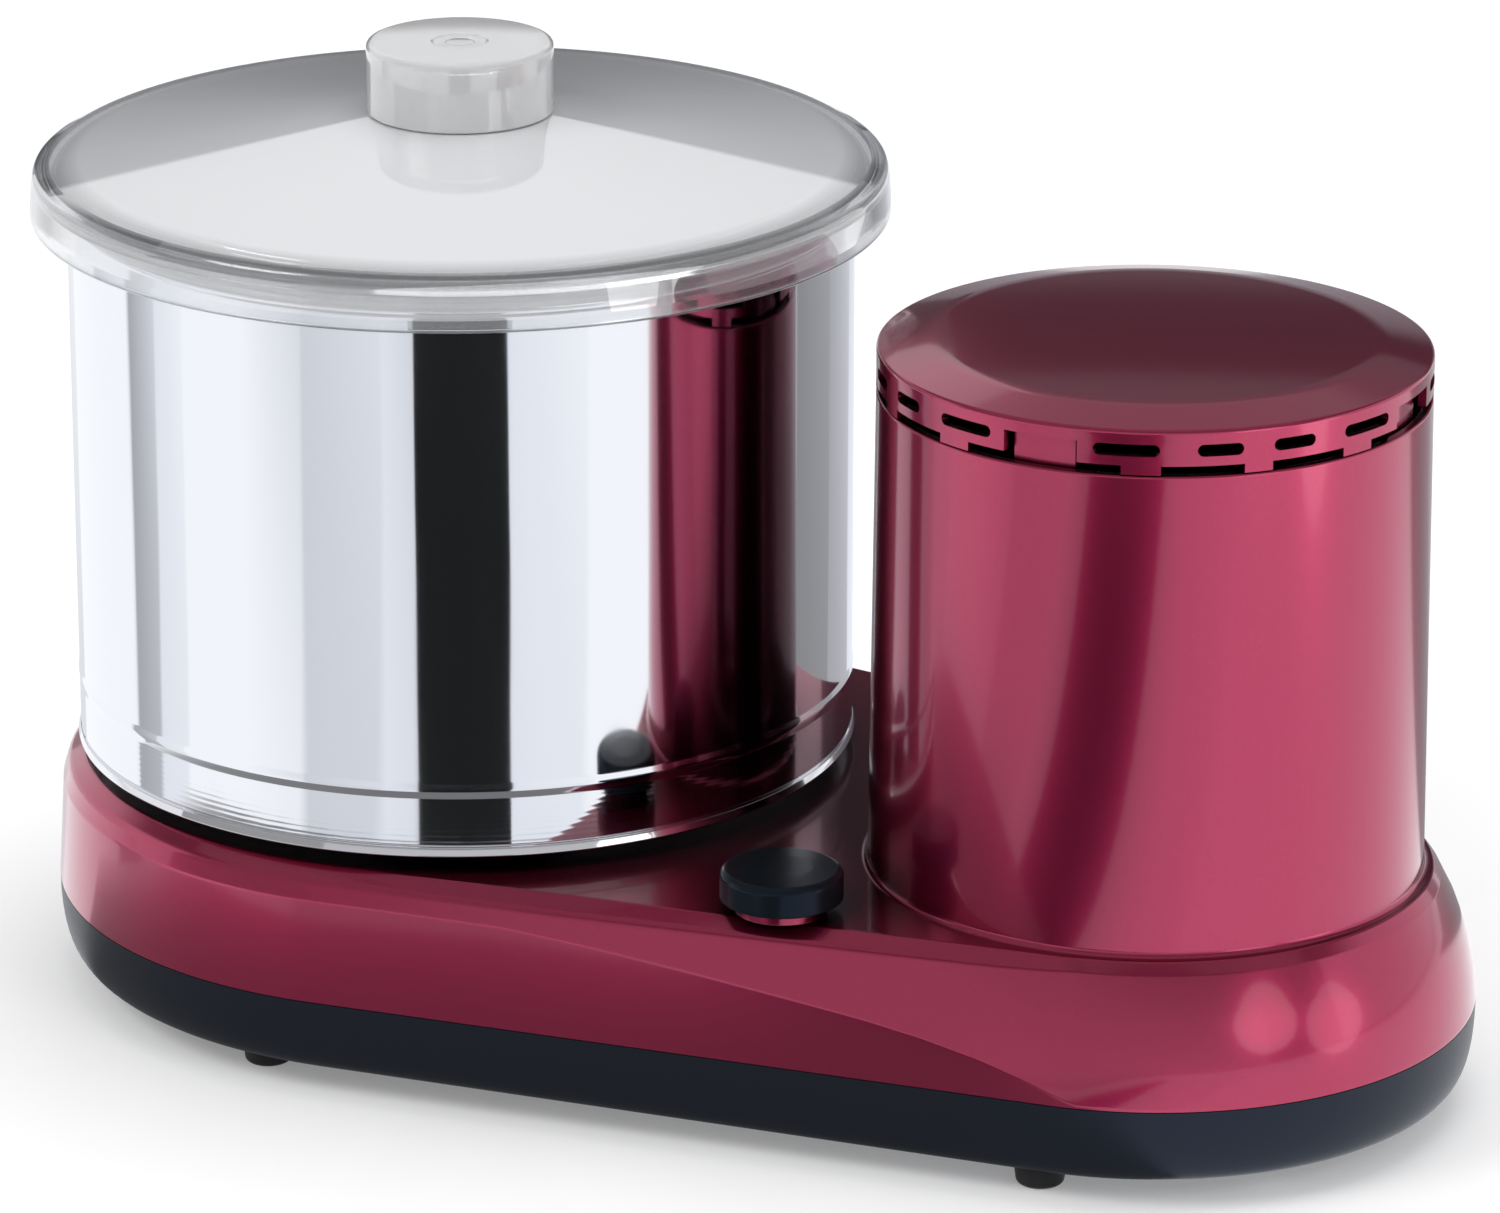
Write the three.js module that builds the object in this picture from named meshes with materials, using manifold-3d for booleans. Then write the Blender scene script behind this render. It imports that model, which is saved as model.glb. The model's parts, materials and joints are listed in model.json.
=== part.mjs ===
// Tabletop wet grinder: a steel drum with a stone floor and two cone stones, beside a motor tower.
// Millimetres. +Z is up, +X runs along the base from the drum to the motor, and -Y is the front.
// The origin is on the ground, in the middle of the grinder's length and width.
import * as THREE from "three";
import { mergeVertices } from "three/addons/utils/BufferGeometryUtils.js";
import Module from "manifold-3d";

const wasm = await Module();
wasm.setup();

// Fits
const seatGap = 0.3; // between pieces that rest on each other
const runGap = 0.3; // between a turning or sliding piece and its seat
const cutOver = 2; // how far a cut runs past the face that it opens
const sameCorner = 1e-4; // corners of a mesh that lie closer than this are one corner

// Sides of a full circle, by how large and how plain to see it is
const wideSides = 40;
const middleSides = 28;
const hiddenSides = 16; // large rounds inside the motor
const smallSides = 16;
const tinySides = 8;
const bendSteps = 2;

// Driving sizes of the whole grinder
const drumRadius = 120;
const drumHeight = 171.4;
const towerRadius = 83.2; // at its foot
const towerHeight = 146.3; // above the deck
const towerGap = 27.8; // from the drum to the tower's foot
const footHeight = 7.7;
const trayHeight = 23.7;
const shellHeight = 41.3; // from the parting line up to the deck
const drumGap = 5.3; // from the deck up to the drum

// Base outline: two round ends, joined by straight sides
const baseDrumMargin = 7.8; // how far the base stands out past the drum
const baseMotorMargin = 16.8; // how far the base stands out past the tower
const blendPower = 2.4; // how late along the side the drum end's edge turns into the motor end's shoulder
const drumEndSides = 20;
const motorEndSides = 16;
const sideSteps = 4;

// Body shell
const shellWall = 3;
const drumShoulder = 9; // how far the deck's edge draws in at the drum end
const motorShoulder = 13.4; // how far it draws in at the motor end
// Share of the height, then shares of the drum shoulder and the motor shoulder
const shoulderShares = [
  [0, 0, 0],
  [0.19, 0.02, 0.015],
  [0.39, 0.09, 0.13],
  [0.58, 0.14, 0.36],
  [0.73, 0.19, 0.55],
  [0.85, 0.24, 0.73],
  [0.93, 0.4, 0.85],
  [0.98, 0.66, 0.94],
  [1, 1, 1],
];
const innerStep = 2; // the inside follows one in this many of those levels
const towerWall = 3;
const towerDraft = 1.5; // how much narrower the tower is at its top
const towerFillet = 3;
const towerFilletHeight = 5;
const collarWall = 3; // rim round the spindle's hole, which keeps spilt water out
const collarHeight = 3.2;
const collarClearance = 3.5;

// Screws through the tray and the chassis plate into the body's posts
const screwRadius = 2;
const screwHeadRadius = 4;
const screwHeadHeight = 3;
const screwSink = 5;
const screwGrip = 20;
const screwPlay = 0.4;
const screwPostRadius = 5.5;
const drumScrewInset = 20;
const drumScrewAngle = 120;
const motorScrewInset = 14;
const motorScrewAngle = 40;

// Base tray
const trayWall = 4;
const trayFloor = 3;
const drumTuck = 9.8; // how far the tray's bottom draws in at the drum end
const motorTuck = 7.5; // how far it draws in at the motor end
// Share of the height, then shares of the drum tuck and the motor tuck
const tuckShares = [
  [0, 1, 1],
  [0.06, 0.59, 0.67],
  [0.21, 0.29, 0.27],
  [0.51, 0.08, 0.05],
  [1, 0, 0],
];
const lipHeight = 3.5; // the tray's lip stands up inside the body shell
const lipWall = 2;
const lipClearance = 0.7;
const slotCount = 5; // air slots under the motor
const slotLength = 40;
const slotWidth = 4;
const slotPitch = 10;

// Feet
const footRadius = 8;
const footTaper = 0.8;
const footStemRadius = 3;
const footHeadRadius = 4.2;
const footHeadHeight = 2;
const drumFootInset = 22.5;
const drumFootAngle = 97;
const motorFootInset = 16.9;
const motorFootAngle = 87;

// Chassis plate and the bar under the driven pulley
const plateLipClearance = 0.8;
const plateThickness = 3;
const plateDrumInset = 12;
const plateMotorInset = 5;
const plateHoleRadius = 20;
const barThickness = 3;
const barWidth = 24;
const barFlange = 12;
const barClearance = 3.7;

// Centre post and its nut
const postRadius = 6;
const postThreadRadius = 4;
const postTipRadius = 4.5;
const postTipHeight = 12.4;
const postCollarRadius = 9;
const postCollarHeight = 1.9;
const nutRadius = 7.5;
const nutHeight = 4.1;
const nutClearance = 0.6;

// Spindle, its housing and its two bearings
const spindleRadius = 10;
const spindleShoulder = 3;
const bearingWidth = 9;
const bearingOuterRadius = 20.7;
const housingWall = 4;
const housingFlange = 13;
const housingFlangeThickness = 4;
const housingLip = 2.4;
const housingLipReach = 3;
const housingClearance = 4;
const bearingSink = 1;

// Coupling between the spindle and the drum
const couplingRadius = 22;
const couplingRise = 2;
const couplingThickness = 7.7;
const couplingSink = 2;
const dogInnerRadius = 13;
const dogOuterRadius = 21;
const dogCount = 3;
const dogAngle = 50;
const dogClearance = 0.9;
const dogEngagement = 4.5;
const socketRadius = 32;
const socketThickness = 2.8;

// Belt drive
const pulleyInset = 39.8; // from the base outline to the driven pulley
const motorPulleyRadius = 11;
const pulleyHeight = 12.5;
const rimHeight = 11;
const rimWall = 6;
const rimFlange = 2;
const rimFlangeThickness = 1;
const webThickness = 4;
const webHoleCount = 6;
const webHoleRadius = 14;
const pulleyHubRadius = 17;
const beltThickness = 3;
const beltWidth = 8;

// Drum, its tube and its floor stone
const drumWall = 1.5;
const drumFootHeight = 9.4; // from the drum's lower edge up to its floor
const drumRingProud = 0.8;
const drumRingHeight = 2.4;
const drumGroove = 0.6;
const drumBandHeight = 20.8; // from the lower edge up to the bead
const drumBeadProud = 0.5;
const drumBeadHeight = 1;
const drumRimProud = 2.4;
const drumRimHeight = 3.6;
const drumCornerRadius = 3;
const tubeRadius = 12;
const tubeWall = 2.5;
const tubeHeight = 88;
const tubeFlangeRadius = 20;
const tubeFlangeThickness = 1.5;
const stoneClearance = 1.5;
const stoneThickness = 23;
const stoneBevel = 3.5;
const stoneHoleClearance = 1;

// Roller frame
const rollerAngle = 20; // half the cone's angle, and the tilt of its axis
const rollerNear = 34; // distances along the roller's axis, from the drum's axis
const rollerWallClearance = 17.4;
const rollerBoreRadius = 8;
const rollerBevel = 2;
const pinRadius = 4;
const pinHeadRadius = 8;
const pinHeadHeight = 4;
const bushReach = 1; // how far the bush stands out of the stone at each end
const bushClearance = 0.5;
const hubRadius = 17;
const hubPlay = 1;
const hubRise = 3.7;
const hubHeadroom = 8.2;
const hubCapThickness = 4;
const springSeatRadius = 24;
const springSeatThickness = 4;
const yokeRadius = 23;
const yokeRise = 2.2;
const yokeHeight = 26;
const yokeBossRadius = 7;
const yokeBossWeb = 4.9;
const springWireRadius = 1.2;
const springClearance = 0.6;
const springTurns = 5;
const springStepsPerTurn = 10;
const springSides = 6;
const knobRadius = 16;
const knobGrip = 13;
const knobCrown = 7;
const knobCrownInset = 3;
const knobFlutes = 6;
const knobFluteRadius = 4;
const knobHeadroom = 1;

// Wiper for the drum's wall
const armThickness = 2.5;
const armWidth = 10;
const bladeWidth = 20;
const bladeThickness = 3;
const bladeClearance = 1.5;
const bladeRise = 2;
const bladeHeight = 50;
const bladeLean = 8;

// Lid and its knob
const lidOverhang = 11;
const lidWall = 2.5;
const lidSkirtDrop = 5.7; // below the drum's rim
const lidSkirtHeight = 11.4;
const lidEdgeInset = 6;
const lidEdgeHeight = 9.2; // above the drum's rim
const lidRise = 15.7;
const lidRibClearance = 0.9;
const lidRibWall = 2.5;
const lidRibDrop = 4.5;
const lidSeatWall = 2; // outside the drum's rolled rim
const lidKnobRadius = 28.5;
const lidKnobHeight = 21.5;
const lidKnobWall = 2.5;
const lidKnobRound = 3;
const lidKnobDimpleRadius = 8.3;
const lidKnobDimpleDepth = 0.7;
const lidKnobBossRadius = 6.5;
const lidScrewRadius = 2.5;
const lidScrewReach = 12;
const lidScrewHeadRadius = 6;
const lidScrewHeadHeight = 3;

// Motor cover: the tower's cap and its vents, in four quarters alike
const coverWall = 2.5;
const coverBandHeight = 12.1;
const coverEdgeRadius = 3;
const coverDomeRise = 3;
const coverTopBar = 3;
const coverSlotHeight = 3.6;
const coverNotchHeight = 2.7;
const quarterCount = 4;
const windowAngle = 16;
// Middles and widths of the slots in a quarter, in degrees from its window's middle
const slotAngles = [
  [18, 13.5],
  [37, 9.5],
  [53, 9.5],
  [72, 13.5],
];
const notchAngles = [
  [12.5, 9],
  [33.5, 17],
  [56.5, 17],
  [77.5, 9],
];
const clipAngle = 14;
const clipWall = 2.3;
const clipDrop = 7;
const clipBridge = 0.8;
const clipClearance = 0.6;

// Motor
const statorAir = 24.7; // from the tower's inside to the stator
const statorHeight = 45;
const bracketWall = 3;
const bracketRimReach = 7;
const bracketFlange = 3;
const lowerBracketHeight = 48.4;
const upperBracketHeight = 26.4;
const bracketWebThickness = 3;
const motorBearingRadius = 13;
const bearingBossWall = 4;
const bearingBossLip = 1.5;
const bearingLipReach = 3;
const lowerBossRise = 20;
const bracketWindowRise = 5;
const bracketWindowHeight = 13;
const bracketWindowWidth = 34;
const earRadius = 6;
const earReach = 5;
const boltRadius = 2.5;
const boltHeadRadius = 5;
const boltHeadHeight = 3.5;
const boltAngle = 45;
const windingAir = 8; // from the winding's outside to the stator's outside
const windingReach = 13.4;
const windingSleeve = 2;
const rotorAir = 1;
const statorDepth = 24; // from the stator's outside in to the rotor
const shaftRadius = 5;
const shaftBelowPulley = 1.5;
const shaftAboveFan = 3;
const fanAir = 32.7;
const fanHubRadius = 12;
const fanHeight = 14;
const fanDiscThickness = 2;
const fanRise = 6;
const fanBladeCount = 8;
const fanBladeThickness = 2;

// Electrical pieces
const capacitorRadius = 11;
const capacitorHeight = 56;
const capacitorAir = 1.2;
const clipHeight = 10;
const clipBand = 1.7;
const clipFoot = 10;
const switchToMotor = 77.5; // along X from the motor axis
const switchInset = 21.1; // from the base outline's side
const switchBossRadius = 13.5;
const switchBossHeight = 2.7;
const buttonRadius = 18.3;
const buttonHeight = 9.7;
const buttonGap = 3.9;
const buttonRound = 2.4;
const buttonWall = 2.8;
const buttonTravel = 3;
const buttonClearance = 1;
const buttonStemRadius = 9;
const buttonStemReach = 1.5;
const switchLength = 24;
const switchWidth = 19;
const switchHeight = 25.5;
const terminalToMotor = 91;
const terminalInset = 41;
const terminalLength = 30;
const terminalWidth = 16;
const terminalHeight = 13;
const wellRadius = 3;
const wellDepth = 6;
const wellPitch = 9;
const glandToMotor = 91;
const glandRise = 14;
const glandBore = 3;
const glandNeck = 5.2;
const glandRidge = 6.1; // snaps in behind the tray's wall
const glandFlange = 7.6;
const glandFlangeThickness = 2.5;
const glandSleeve = 5.8;
const glandReach = 10;
const glandDraftClearance = 0.8; // the wall leans under the flange
const glandInnerClearance = 2.7;

// Heights and places that follow from the sizes
const trayBottom = footHeight + seatGap;
const trayFloorTop = trayBottom + trayFloor;
const trayTop = trayBottom + trayHeight;
const shellBottom = trayTop + seatGap;
const deckTop = shellBottom + shellHeight;
const deckUnder = deckTop - shellWall;
const towerTop = deckTop + towerHeight;
const towerTopRadius = towerRadius - towerDraft;
const towerTopInside = towerTopRadius - towerWall;
const plateBottom = trayTop + lipHeight + plateLipClearance;
const plateTop = plateBottom + plateThickness;
const lidRadius = drumRadius + lidOverhang;
const baseDrumRadius = drumRadius + baseDrumMargin;
const baseMotorRadius = towerRadius + baseMotorMargin;
const axisSpacing = drumRadius + towerGap + towerRadius;
const drumX = (lidRadius - baseMotorRadius - axisSpacing) / 2;
const motorX = drumX + axisSpacing;

const nutBottom = trayFloorTop + nutClearance;
const barBottom = nutBottom + nutHeight + seatGap;
const barTop = barBottom + barThickness;
const pulleyBottom = barTop + seatGap + postCollarHeight + runGap;
const pulleyTop = pulleyBottom + pulleyHeight;
const drivenPulleyRadius = baseDrumRadius - pulleyInset;
const barReach = drivenPulleyRadius + seatGap + beltThickness + barClearance;

const housingBottom = plateTop + seatGap;
const housingTop = deckUnder - housingClearance;
const housingBore = bearingOuterRadius + seatGap;
const housingRadius = housingBore + housingWall;
const lowerBearingBottom = housingBottom + housingLip + seatGap;
const upperBearingBottom = housingTop - bearingSink - bearingWidth;
const couplingBottom = housingTop + couplingRise;
const couplingTop = couplingBottom + couplingThickness;
const spindleTop = couplingTop - couplingSink;

const drumBottom = deckTop + drumGap;
const drumFloorBottom = drumBottom + drumFootHeight;
const drumFloorTop = drumFloorBottom + drumWall;
const drumRimTop = drumBottom + drumHeight;
const drumInside = drumRadius - drumWall;
const socketTop = drumFloorBottom - seatGap;
const socketBottom = socketTop - socketThickness;
const dogTop = socketBottom - dogClearance;
const tubeBottom = drumFloorTop + seatGap;
const tubeTop = tubeBottom + tubeHeight;
const tubeBore = tubeRadius - tubeWall;
const stoneTop = tubeBottom + stoneThickness;

const hubBore = tubeRadius + hubPlay;
const hubBottom = stoneTop + hubRise;
const hubCapBottom = tubeTop + hubHeadroom;
const hubTop = hubCapBottom + hubCapThickness;
const springSeatBottom = hubCapBottom - springSeatThickness;
const yokeBottom = stoneTop + yokeRise;
const yokeTop = yokeBottom + yokeHeight;
const armBottom = yokeTop + seatGap;
const armTop = armBottom + armThickness;
const postTop = hubTop + runGap + postTipHeight;
const knobBottom = hubTop + runGap;

const degree = Math.PI / 180;
const fullTurn = 2 * Math.PI;
const rollerTilt = rollerAngle * degree;
const rollerSpread = Math.tan(rollerTilt);
const rollerFar = (drumInside - rollerWallClearance) * Math.cos(rollerTilt);
const rollerApex = stoneTop + runGap;
const bushNear = rollerNear - bushReach;
const bushFar = rollerFar + bushReach;
const yokeBossFar = bushNear - bushClearance;
const pinNear = hubRadius + runGap + yokeBossWeb + seatGap;

const lidSeat = drumRimTop + seatGap;
const lidTop = lidSeat + lidEdgeHeight + lidRise;
const lidKnobBottom = lidTop + seatGap;
const lidKnobTop = lidKnobBottom + lidKnobHeight;

const coverBottom = towerTop + seatGap;
const coverBandTop = coverBottom + coverBandHeight;

const statorRadius = towerTopInside - statorAir;
const rotorRadius = statorRadius - statorDepth;
const lowerBracketBottom = plateTop + seatGap;
const lowerBracketTop = lowerBracketBottom + lowerBracketHeight;
const statorBottom = lowerBracketTop + seatGap;
const statorTop = statorBottom + statorHeight;
const upperBracketBottom = statorTop + seatGap;
const upperBracketTop = upperBracketBottom + upperBracketHeight;
const bracketRadius = statorRadius + 2 * seatGap + runGap;
const bracketInside = bracketRadius - bracketWall;
const bearingBossHeight = bearingBossLip + seatGap + bearingWidth;
const lowerBossBottom = lowerBracketBottom + lowerBossRise;
const upperBossBottom = upperBracketTop - bearingBossHeight;
const windingRadius = statorRadius - windingAir;
const windingInside = rotorRadius + rotorAir;
const fanBottom = upperBracketTop + fanRise;
const fanRadius = towerTopInside - fanAir;
const earPlace = bracketRadius + earReach;

const switchX = motorX - switchToMotor;
const switchY = switchInset - halfWidth(axisSpacing - switchToMotor);
const bossTop = deckTop + switchBossHeight;
const buttonBottom = deckTop + buttonGap;
const buttonTop = buttonBottom + buttonHeight;
const switchBottom = plateTop + seatGap;
const switchTop = switchBottom + switchHeight;
const buttonStemBottom = switchTop - buttonStemReach;

// Half the base's width, at a distance along X from the drum axis.
function halfWidth(along) {
  const lean = (baseDrumRadius - baseMotorRadius) / axisSpacing;
  return (baseDrumRadius - lean * along) / Math.sqrt(1 - lean * lean);
}

// A closed surface as a solid that can be joined and cut.
function solidOf(geometry) {
  const bare = new THREE.BufferGeometry();
  bare.setAttribute("position", geometry.getAttribute("position").clone());
  if (geometry.index) bare.setIndex(geometry.index.clone());
  const merged = mergeVertices(bare, sameCorner);
  const corners = merged.index.array;
  const places = merged.getAttribute("position");
  const a = new THREE.Vector3();
  const b = new THREE.Vector3();
  const c = new THREE.Vector3();
  const faces = [];
  let volume = 0;
  for (let i = 0; i < corners.length; i += 3) {
    const [p, q, r] = [corners[i], corners[i + 1], corners[i + 2]];
    if (p !== q && q !== r && r !== p) {
      faces.push(p, q, r);
      a.fromBufferAttribute(places, p);
      b.fromBufferAttribute(places, q);
      c.fromBufferAttribute(places, r);
      volume += a.dot(b.cross(c));
    }
  }
  if (volume < 0) faces.reverse();
  return new wasm.Manifold(
    new wasm.Mesh({
      numProp: 3,
      vertProperties: new Float32Array(places.array),
      triVerts: new Uint32Array(faces),
    }),
  );
}

function geometryOf(solid) {
  const mesh = solid.getMesh();
  const geometry = new THREE.BufferGeometry();
  geometry.setAttribute("position", new THREE.BufferAttribute(new Float32Array(mesh.vertProperties), 3));
  geometry.setIndex(new THREE.BufferAttribute(new Uint32Array(mesh.triVerts), 1));
  return geometry;
}

function join(first, ...others) {
  return geometryOf(others.reduce((whole, other) => whole.add(solidOf(other)), solidOf(first)));
}

function cut(first, ...others) {
  return geometryOf(others.reduce((whole, other) => whole.subtract(solidOf(other)), solidOf(first)));
}

function overlapOf(first, second) {
  return geometryOf(solidOf(first).intersect(solidOf(second)));
}

// A profile of [radius, height] points turned round Z. It starts and ends on the axis.
function turned(profile, sides) {
  const points = profile.map(([radius, height]) => new THREE.Vector2(radius, height));
  return new THREE.LatheGeometry(points, sides).rotateX(Math.PI / 2);
}

// The same for a profile that closes on itself away from the axis.
function turnedRing(profile, sides) {
  return turned([...profile, profile[0]], sides);
}

function disc(radius, bottom, top, sides) {
  return turned([[0, bottom], [radius, bottom], [radius, top], [0, top]], sides);
}

function tube(bore, radius, bottom, top, sides) {
  return turnedRing([[bore, bottom], [radius, bottom], [radius, top], [bore, top]], sides);
}

function block(lowX, highX, lowY, highY, bottom, top) {
  const geometry = new THREE.BoxGeometry(highX - lowX, highY - lowY, top - bottom);
  return geometry.translate((lowX + highX) / 2, (lowY + highY) / 2, (bottom + top) / 2);
}

// An outline in the ground plane, raised from bottom to top.
function raised(shape, bottom, top, curveSegments = tinySides) {
  const settings = { depth: top - bottom, bevelEnabled: false, curveSegments };
  return new THREE.ExtrudeGeometry(shape, settings).translate(0, 0, bottom);
}

// Part of a ring round Z, centred on an angle in degrees.
function sector(bore, radius, middleAngle, widthAngle, bottom, top, steps = bendSteps) {
  const from = (middleAngle - widthAngle / 2) * degree;
  const step = (widthAngle * degree) / steps;
  const outside = [];
  const inside = [];
  for (let i = 0; i <= steps; i += 1) {
    const angle = from + i * step;
    outside.push(new THREE.Vector2(radius * Math.cos(angle), radius * Math.sin(angle)));
    inside.unshift(new THREE.Vector2(bore * Math.cos(angle), bore * Math.sin(angle)));
  }
  return raised(new THREE.Shape([...outside, ...inside]), bottom, top);
}

// Points of a quarter bend from one [radius, height] place to another, bulging towards the corner place.
function bend([fromRadius, fromHeight], [cornerRadius, cornerHeight], [toRadius, toHeight]) {
  const points = [];
  for (let i = 1; i < bendSteps; i += 1) {
    const angle = ((i / bendSteps) * Math.PI) / 2;
    const near = 1 - Math.sin(angle);
    const far = 1 - Math.cos(angle);
    points.push([
      cornerRadius + (fromRadius - cornerRadius) * near + (toRadius - cornerRadius) * far,
      cornerHeight + (fromHeight - cornerHeight) * near + (toHeight - cornerHeight) * far,
    ]);
  }
  return points;
}

// Points round two round ends on the drum and motor axes, each with the direction that faces out there.
// blend is 0 at the drum end and 1 at the motor end.
function roundEnds(drumEnd, motorEnd) {
  const lean = Math.acos((drumEnd - motorEnd) / axisSpacing);
  const points = [];
  function addPoint(centreX, radius, angle) {
    const x = centreX + radius * Math.cos(angle);
    const share = THREE.MathUtils.clamp((x - drumX) / axisSpacing, 0, 1);
    points.push({
      x,
      y: radius * Math.sin(angle),
      outX: Math.cos(angle),
      outY: Math.sin(angle),
      blend: share ** blendPower,
    });
  }
  function addArc(centreX, radius, from, to, sides) {
    for (let i = 0; i <= sides; i += 1) addPoint(centreX, radius, from + ((to - from) * i) / sides);
  }
  function addSide(angle, startX, startRadius, endX, endRadius) {
    for (let i = 1; i < sideSteps; i += 1) {
      const share = i / sideSteps;
      addPoint(startX + (endX - startX) * share, startRadius + (endRadius - startRadius) * share, angle);
    }
  }
  addArc(drumX, drumEnd, lean, fullTurn - lean, drumEndSides);
  addSide(-lean, drumX, drumEnd, motorX, motorEnd);
  addArc(motorX, motorEnd, -lean, lean, motorEndSides);
  addSide(lean, motorX, motorEnd, drumX, drumEnd);
  return points;
}

// Those points at one height, moved in by one amount at the drum end and another at the motor end.
function levelRing(points, drumInset, motorInset, height) {
  return points.map((point) => {
    const inset = THREE.MathUtils.lerp(drumInset, motorInset, point.blend);
    return new THREE.Vector3(point.x - point.outX * inset, point.y - point.outY * inset, height);
  });
}

// A closed skin over rings with the same count of points, from the lowest ring up.
function loft(rings) {
  const count = rings[0].length;
  const places = rings.flat();
  const faces = [];
  for (let level = 1; level < rings.length; level += 1) {
    const low = (level - 1) * count;
    const high = level * count;
    for (let i = 0; i < count; i += 1) {
      const next = (i + 1) % count;
      faces.push(low + i, low + next, high + next, low + i, high + next, high + i);
    }
  }
  const last = (rings.length - 1) * count;
  const lowMiddle = places.length;
  const highMiddle = lowMiddle + 1;
  places.push(middleOf(rings[0]), middleOf(rings[rings.length - 1]));
  for (let i = 0; i < count; i += 1) {
    const next = (i + 1) % count;
    faces.push(lowMiddle, next, i, highMiddle, last + i, last + next);
  }
  return new THREE.BufferGeometry().setFromPoints(places).setIndex(faces);
}

function middleOf(points) {
  const sum = points.reduce((total, point) => total.add(point), new THREE.Vector3());
  return sum.divideScalar(points.length);
}

const baseEnds = roundEnds(baseDrumRadius, baseMotorRadius);

// A slab of the base's outline, moved in evenly.
function baseSlab(drumInset, motorInset, bottom, top) {
  return loft([
    levelRing(baseEnds, drumInset, motorInset, bottom),
    levelRing(baseEnds, drumInset, motorInset, top),
  ]);
}

// A rim of the base's outline, between two insets.
function baseRim(outerInset, innerInset, bottom, top) {
  return cut(
    baseSlab(outerInset, outerInset, bottom, top),
    baseSlab(innerInset, innerInset, bottom - cutOver, top + cutOver),
  );
}

// The four places of the screws, and of the posts that they go through.
function screwPlaces() {
  const drumReach = baseDrumRadius - drumScrewInset;
  const motorReach = baseMotorRadius - motorScrewInset;
  const places = [];
  for (const side of [-1, 1]) {
    const drumTurn = drumScrewAngle * degree * side;
    const motorTurn = motorScrewAngle * degree * side;
    places.push([drumX + drumReach * Math.cos(drumTurn), drumReach * Math.sin(drumTurn)]);
    places.push([motorX + motorReach * Math.cos(motorTurn), motorReach * Math.sin(motorTurn)]);
  }
  return places;
}

function footPlaces() {
  const drumReach = baseDrumRadius - drumFootInset;
  const motorReach = baseMotorRadius - motorFootInset;
  const places = {};
  for (const [depth, side] of [["front", -1], ["rear", 1]]) {
    const drumTurn = drumFootAngle * degree * side;
    const motorTurn = motorFootAngle * degree * side;
    places[`${depth}_left`] = [drumX + drumReach * Math.cos(drumTurn), drumReach * Math.sin(drumTurn)];
    places[`${depth}_right`] = [motorX + motorReach * Math.cos(motorTurn), motorReach * Math.sin(motorTurn)];
  }
  return places;
}

// The two through bolts' places, from the motor axis.
function boltPlaces() {
  return [boltAngle, boltAngle + 180].map((angle) => [
    earPlace * Math.cos(angle * degree),
    earPlace * Math.sin(angle * degree),
  ]);
}

// Cord gland: its place on the base's outline, and the direction of its axis.
function glandPlace() {
  const along = axisSpacing - glandToMotor;
  const lean = Math.acos((baseDrumRadius - baseMotorRadius) / axisSpacing);
  return { x: drumX + along, y: halfWidth(along), angle: lean, height: trayBottom + glandRise };
}

function bodyShell() {
  const levels = shoulderShares.map(([rise, drumShare, motorShare]) => [
    rise,
    drumShare * drumShoulder,
    motorShare * motorShoulder,
  ]);
  const outside = loft(
    levels.map(([rise, drumInset, motorInset]) =>
      levelRing(baseEnds, drumInset, motorInset, shellBottom + rise * shellHeight),
    ),
  );
  const innerLevels = levels.filter((level, i) => i % innerStep === 0);
  const inside = loft([
    levelRing(baseEnds, shellWall, shellWall, shellBottom - cutOver),
    ...innerLevels.map(([rise, drumInset, motorInset]) => {
      const height = shellBottom + rise * (shellHeight - shellWall);
      return levelRing(baseEnds, drumInset + shellWall, motorInset + shellWall, height);
    }),
  ]);
  const footEdge = [towerRadius + towerFillet, deckTop];
  const filletTop = [towerRadius, deckTop + towerFilletHeight];
  const tower = turned(
    [
      [0, deckUnder],
      [footEdge[0], deckUnder],
      footEdge,
      ...bend(footEdge, [towerRadius, deckTop], filletTop),
      filletTop,
      [towerTopRadius, towerTop],
      [0, towerTop],
    ],
    wideSides,
  ).translate(motorX, 0, 0);
  const towerInside = turned(
    [
      [0, deckUnder - cutOver],
      [towerRadius - towerWall, deckUnder - cutOver],
      [towerRadius - towerWall, deckTop + towerFilletHeight],
      [towerTopInside, towerTop],
      [towerTopInside, towerTop + cutOver],
      [0, towerTop + cutOver],
    ],
    wideSides,
  ).translate(motorX, 0, 0);
  const holeRadius = couplingRadius + collarClearance;
  const collar = disc(holeRadius + collarWall, deckUnder, deckTop + collarHeight, middleSides);
  const hole = disc(holeRadius, deckUnder - cutOver, deckTop + collarHeight + cutOver, middleSides);
  const boss = disc(switchBossRadius, deckUnder, bossTop, middleSides).translate(switchX, switchY, 0);
  const stemHole = disc(buttonStemRadius + screwPlay, deckUnder - cutOver, bossTop + cutOver, smallSides);
  const hollow = cut(
    join(outside, tower, collar.translate(drumX, 0, 0), boss),
    inside,
    towerInside,
    hole.translate(drumX, 0, 0),
    stemHole.translate(switchX, switchY, 0),
  );
  const postBottom = plateTop + seatGap;
  const posts = screwPlaces().map(([x, y]) => {
    const post = disc(screwPostRadius, postBottom, deckUnder + shellWall / 2, tinySides).translate(x, y, 0);
    return overlapOf(post, outside);
  });
  const screwHoles = screwPlaces().map(([x, y]) =>
    disc(screwRadius + screwPlay, postBottom - cutOver, postBottom + screwGrip, tinySides).translate(x, y, 0),
  );
  return cut(join(hollow, ...posts), ...screwHoles);
}

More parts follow.
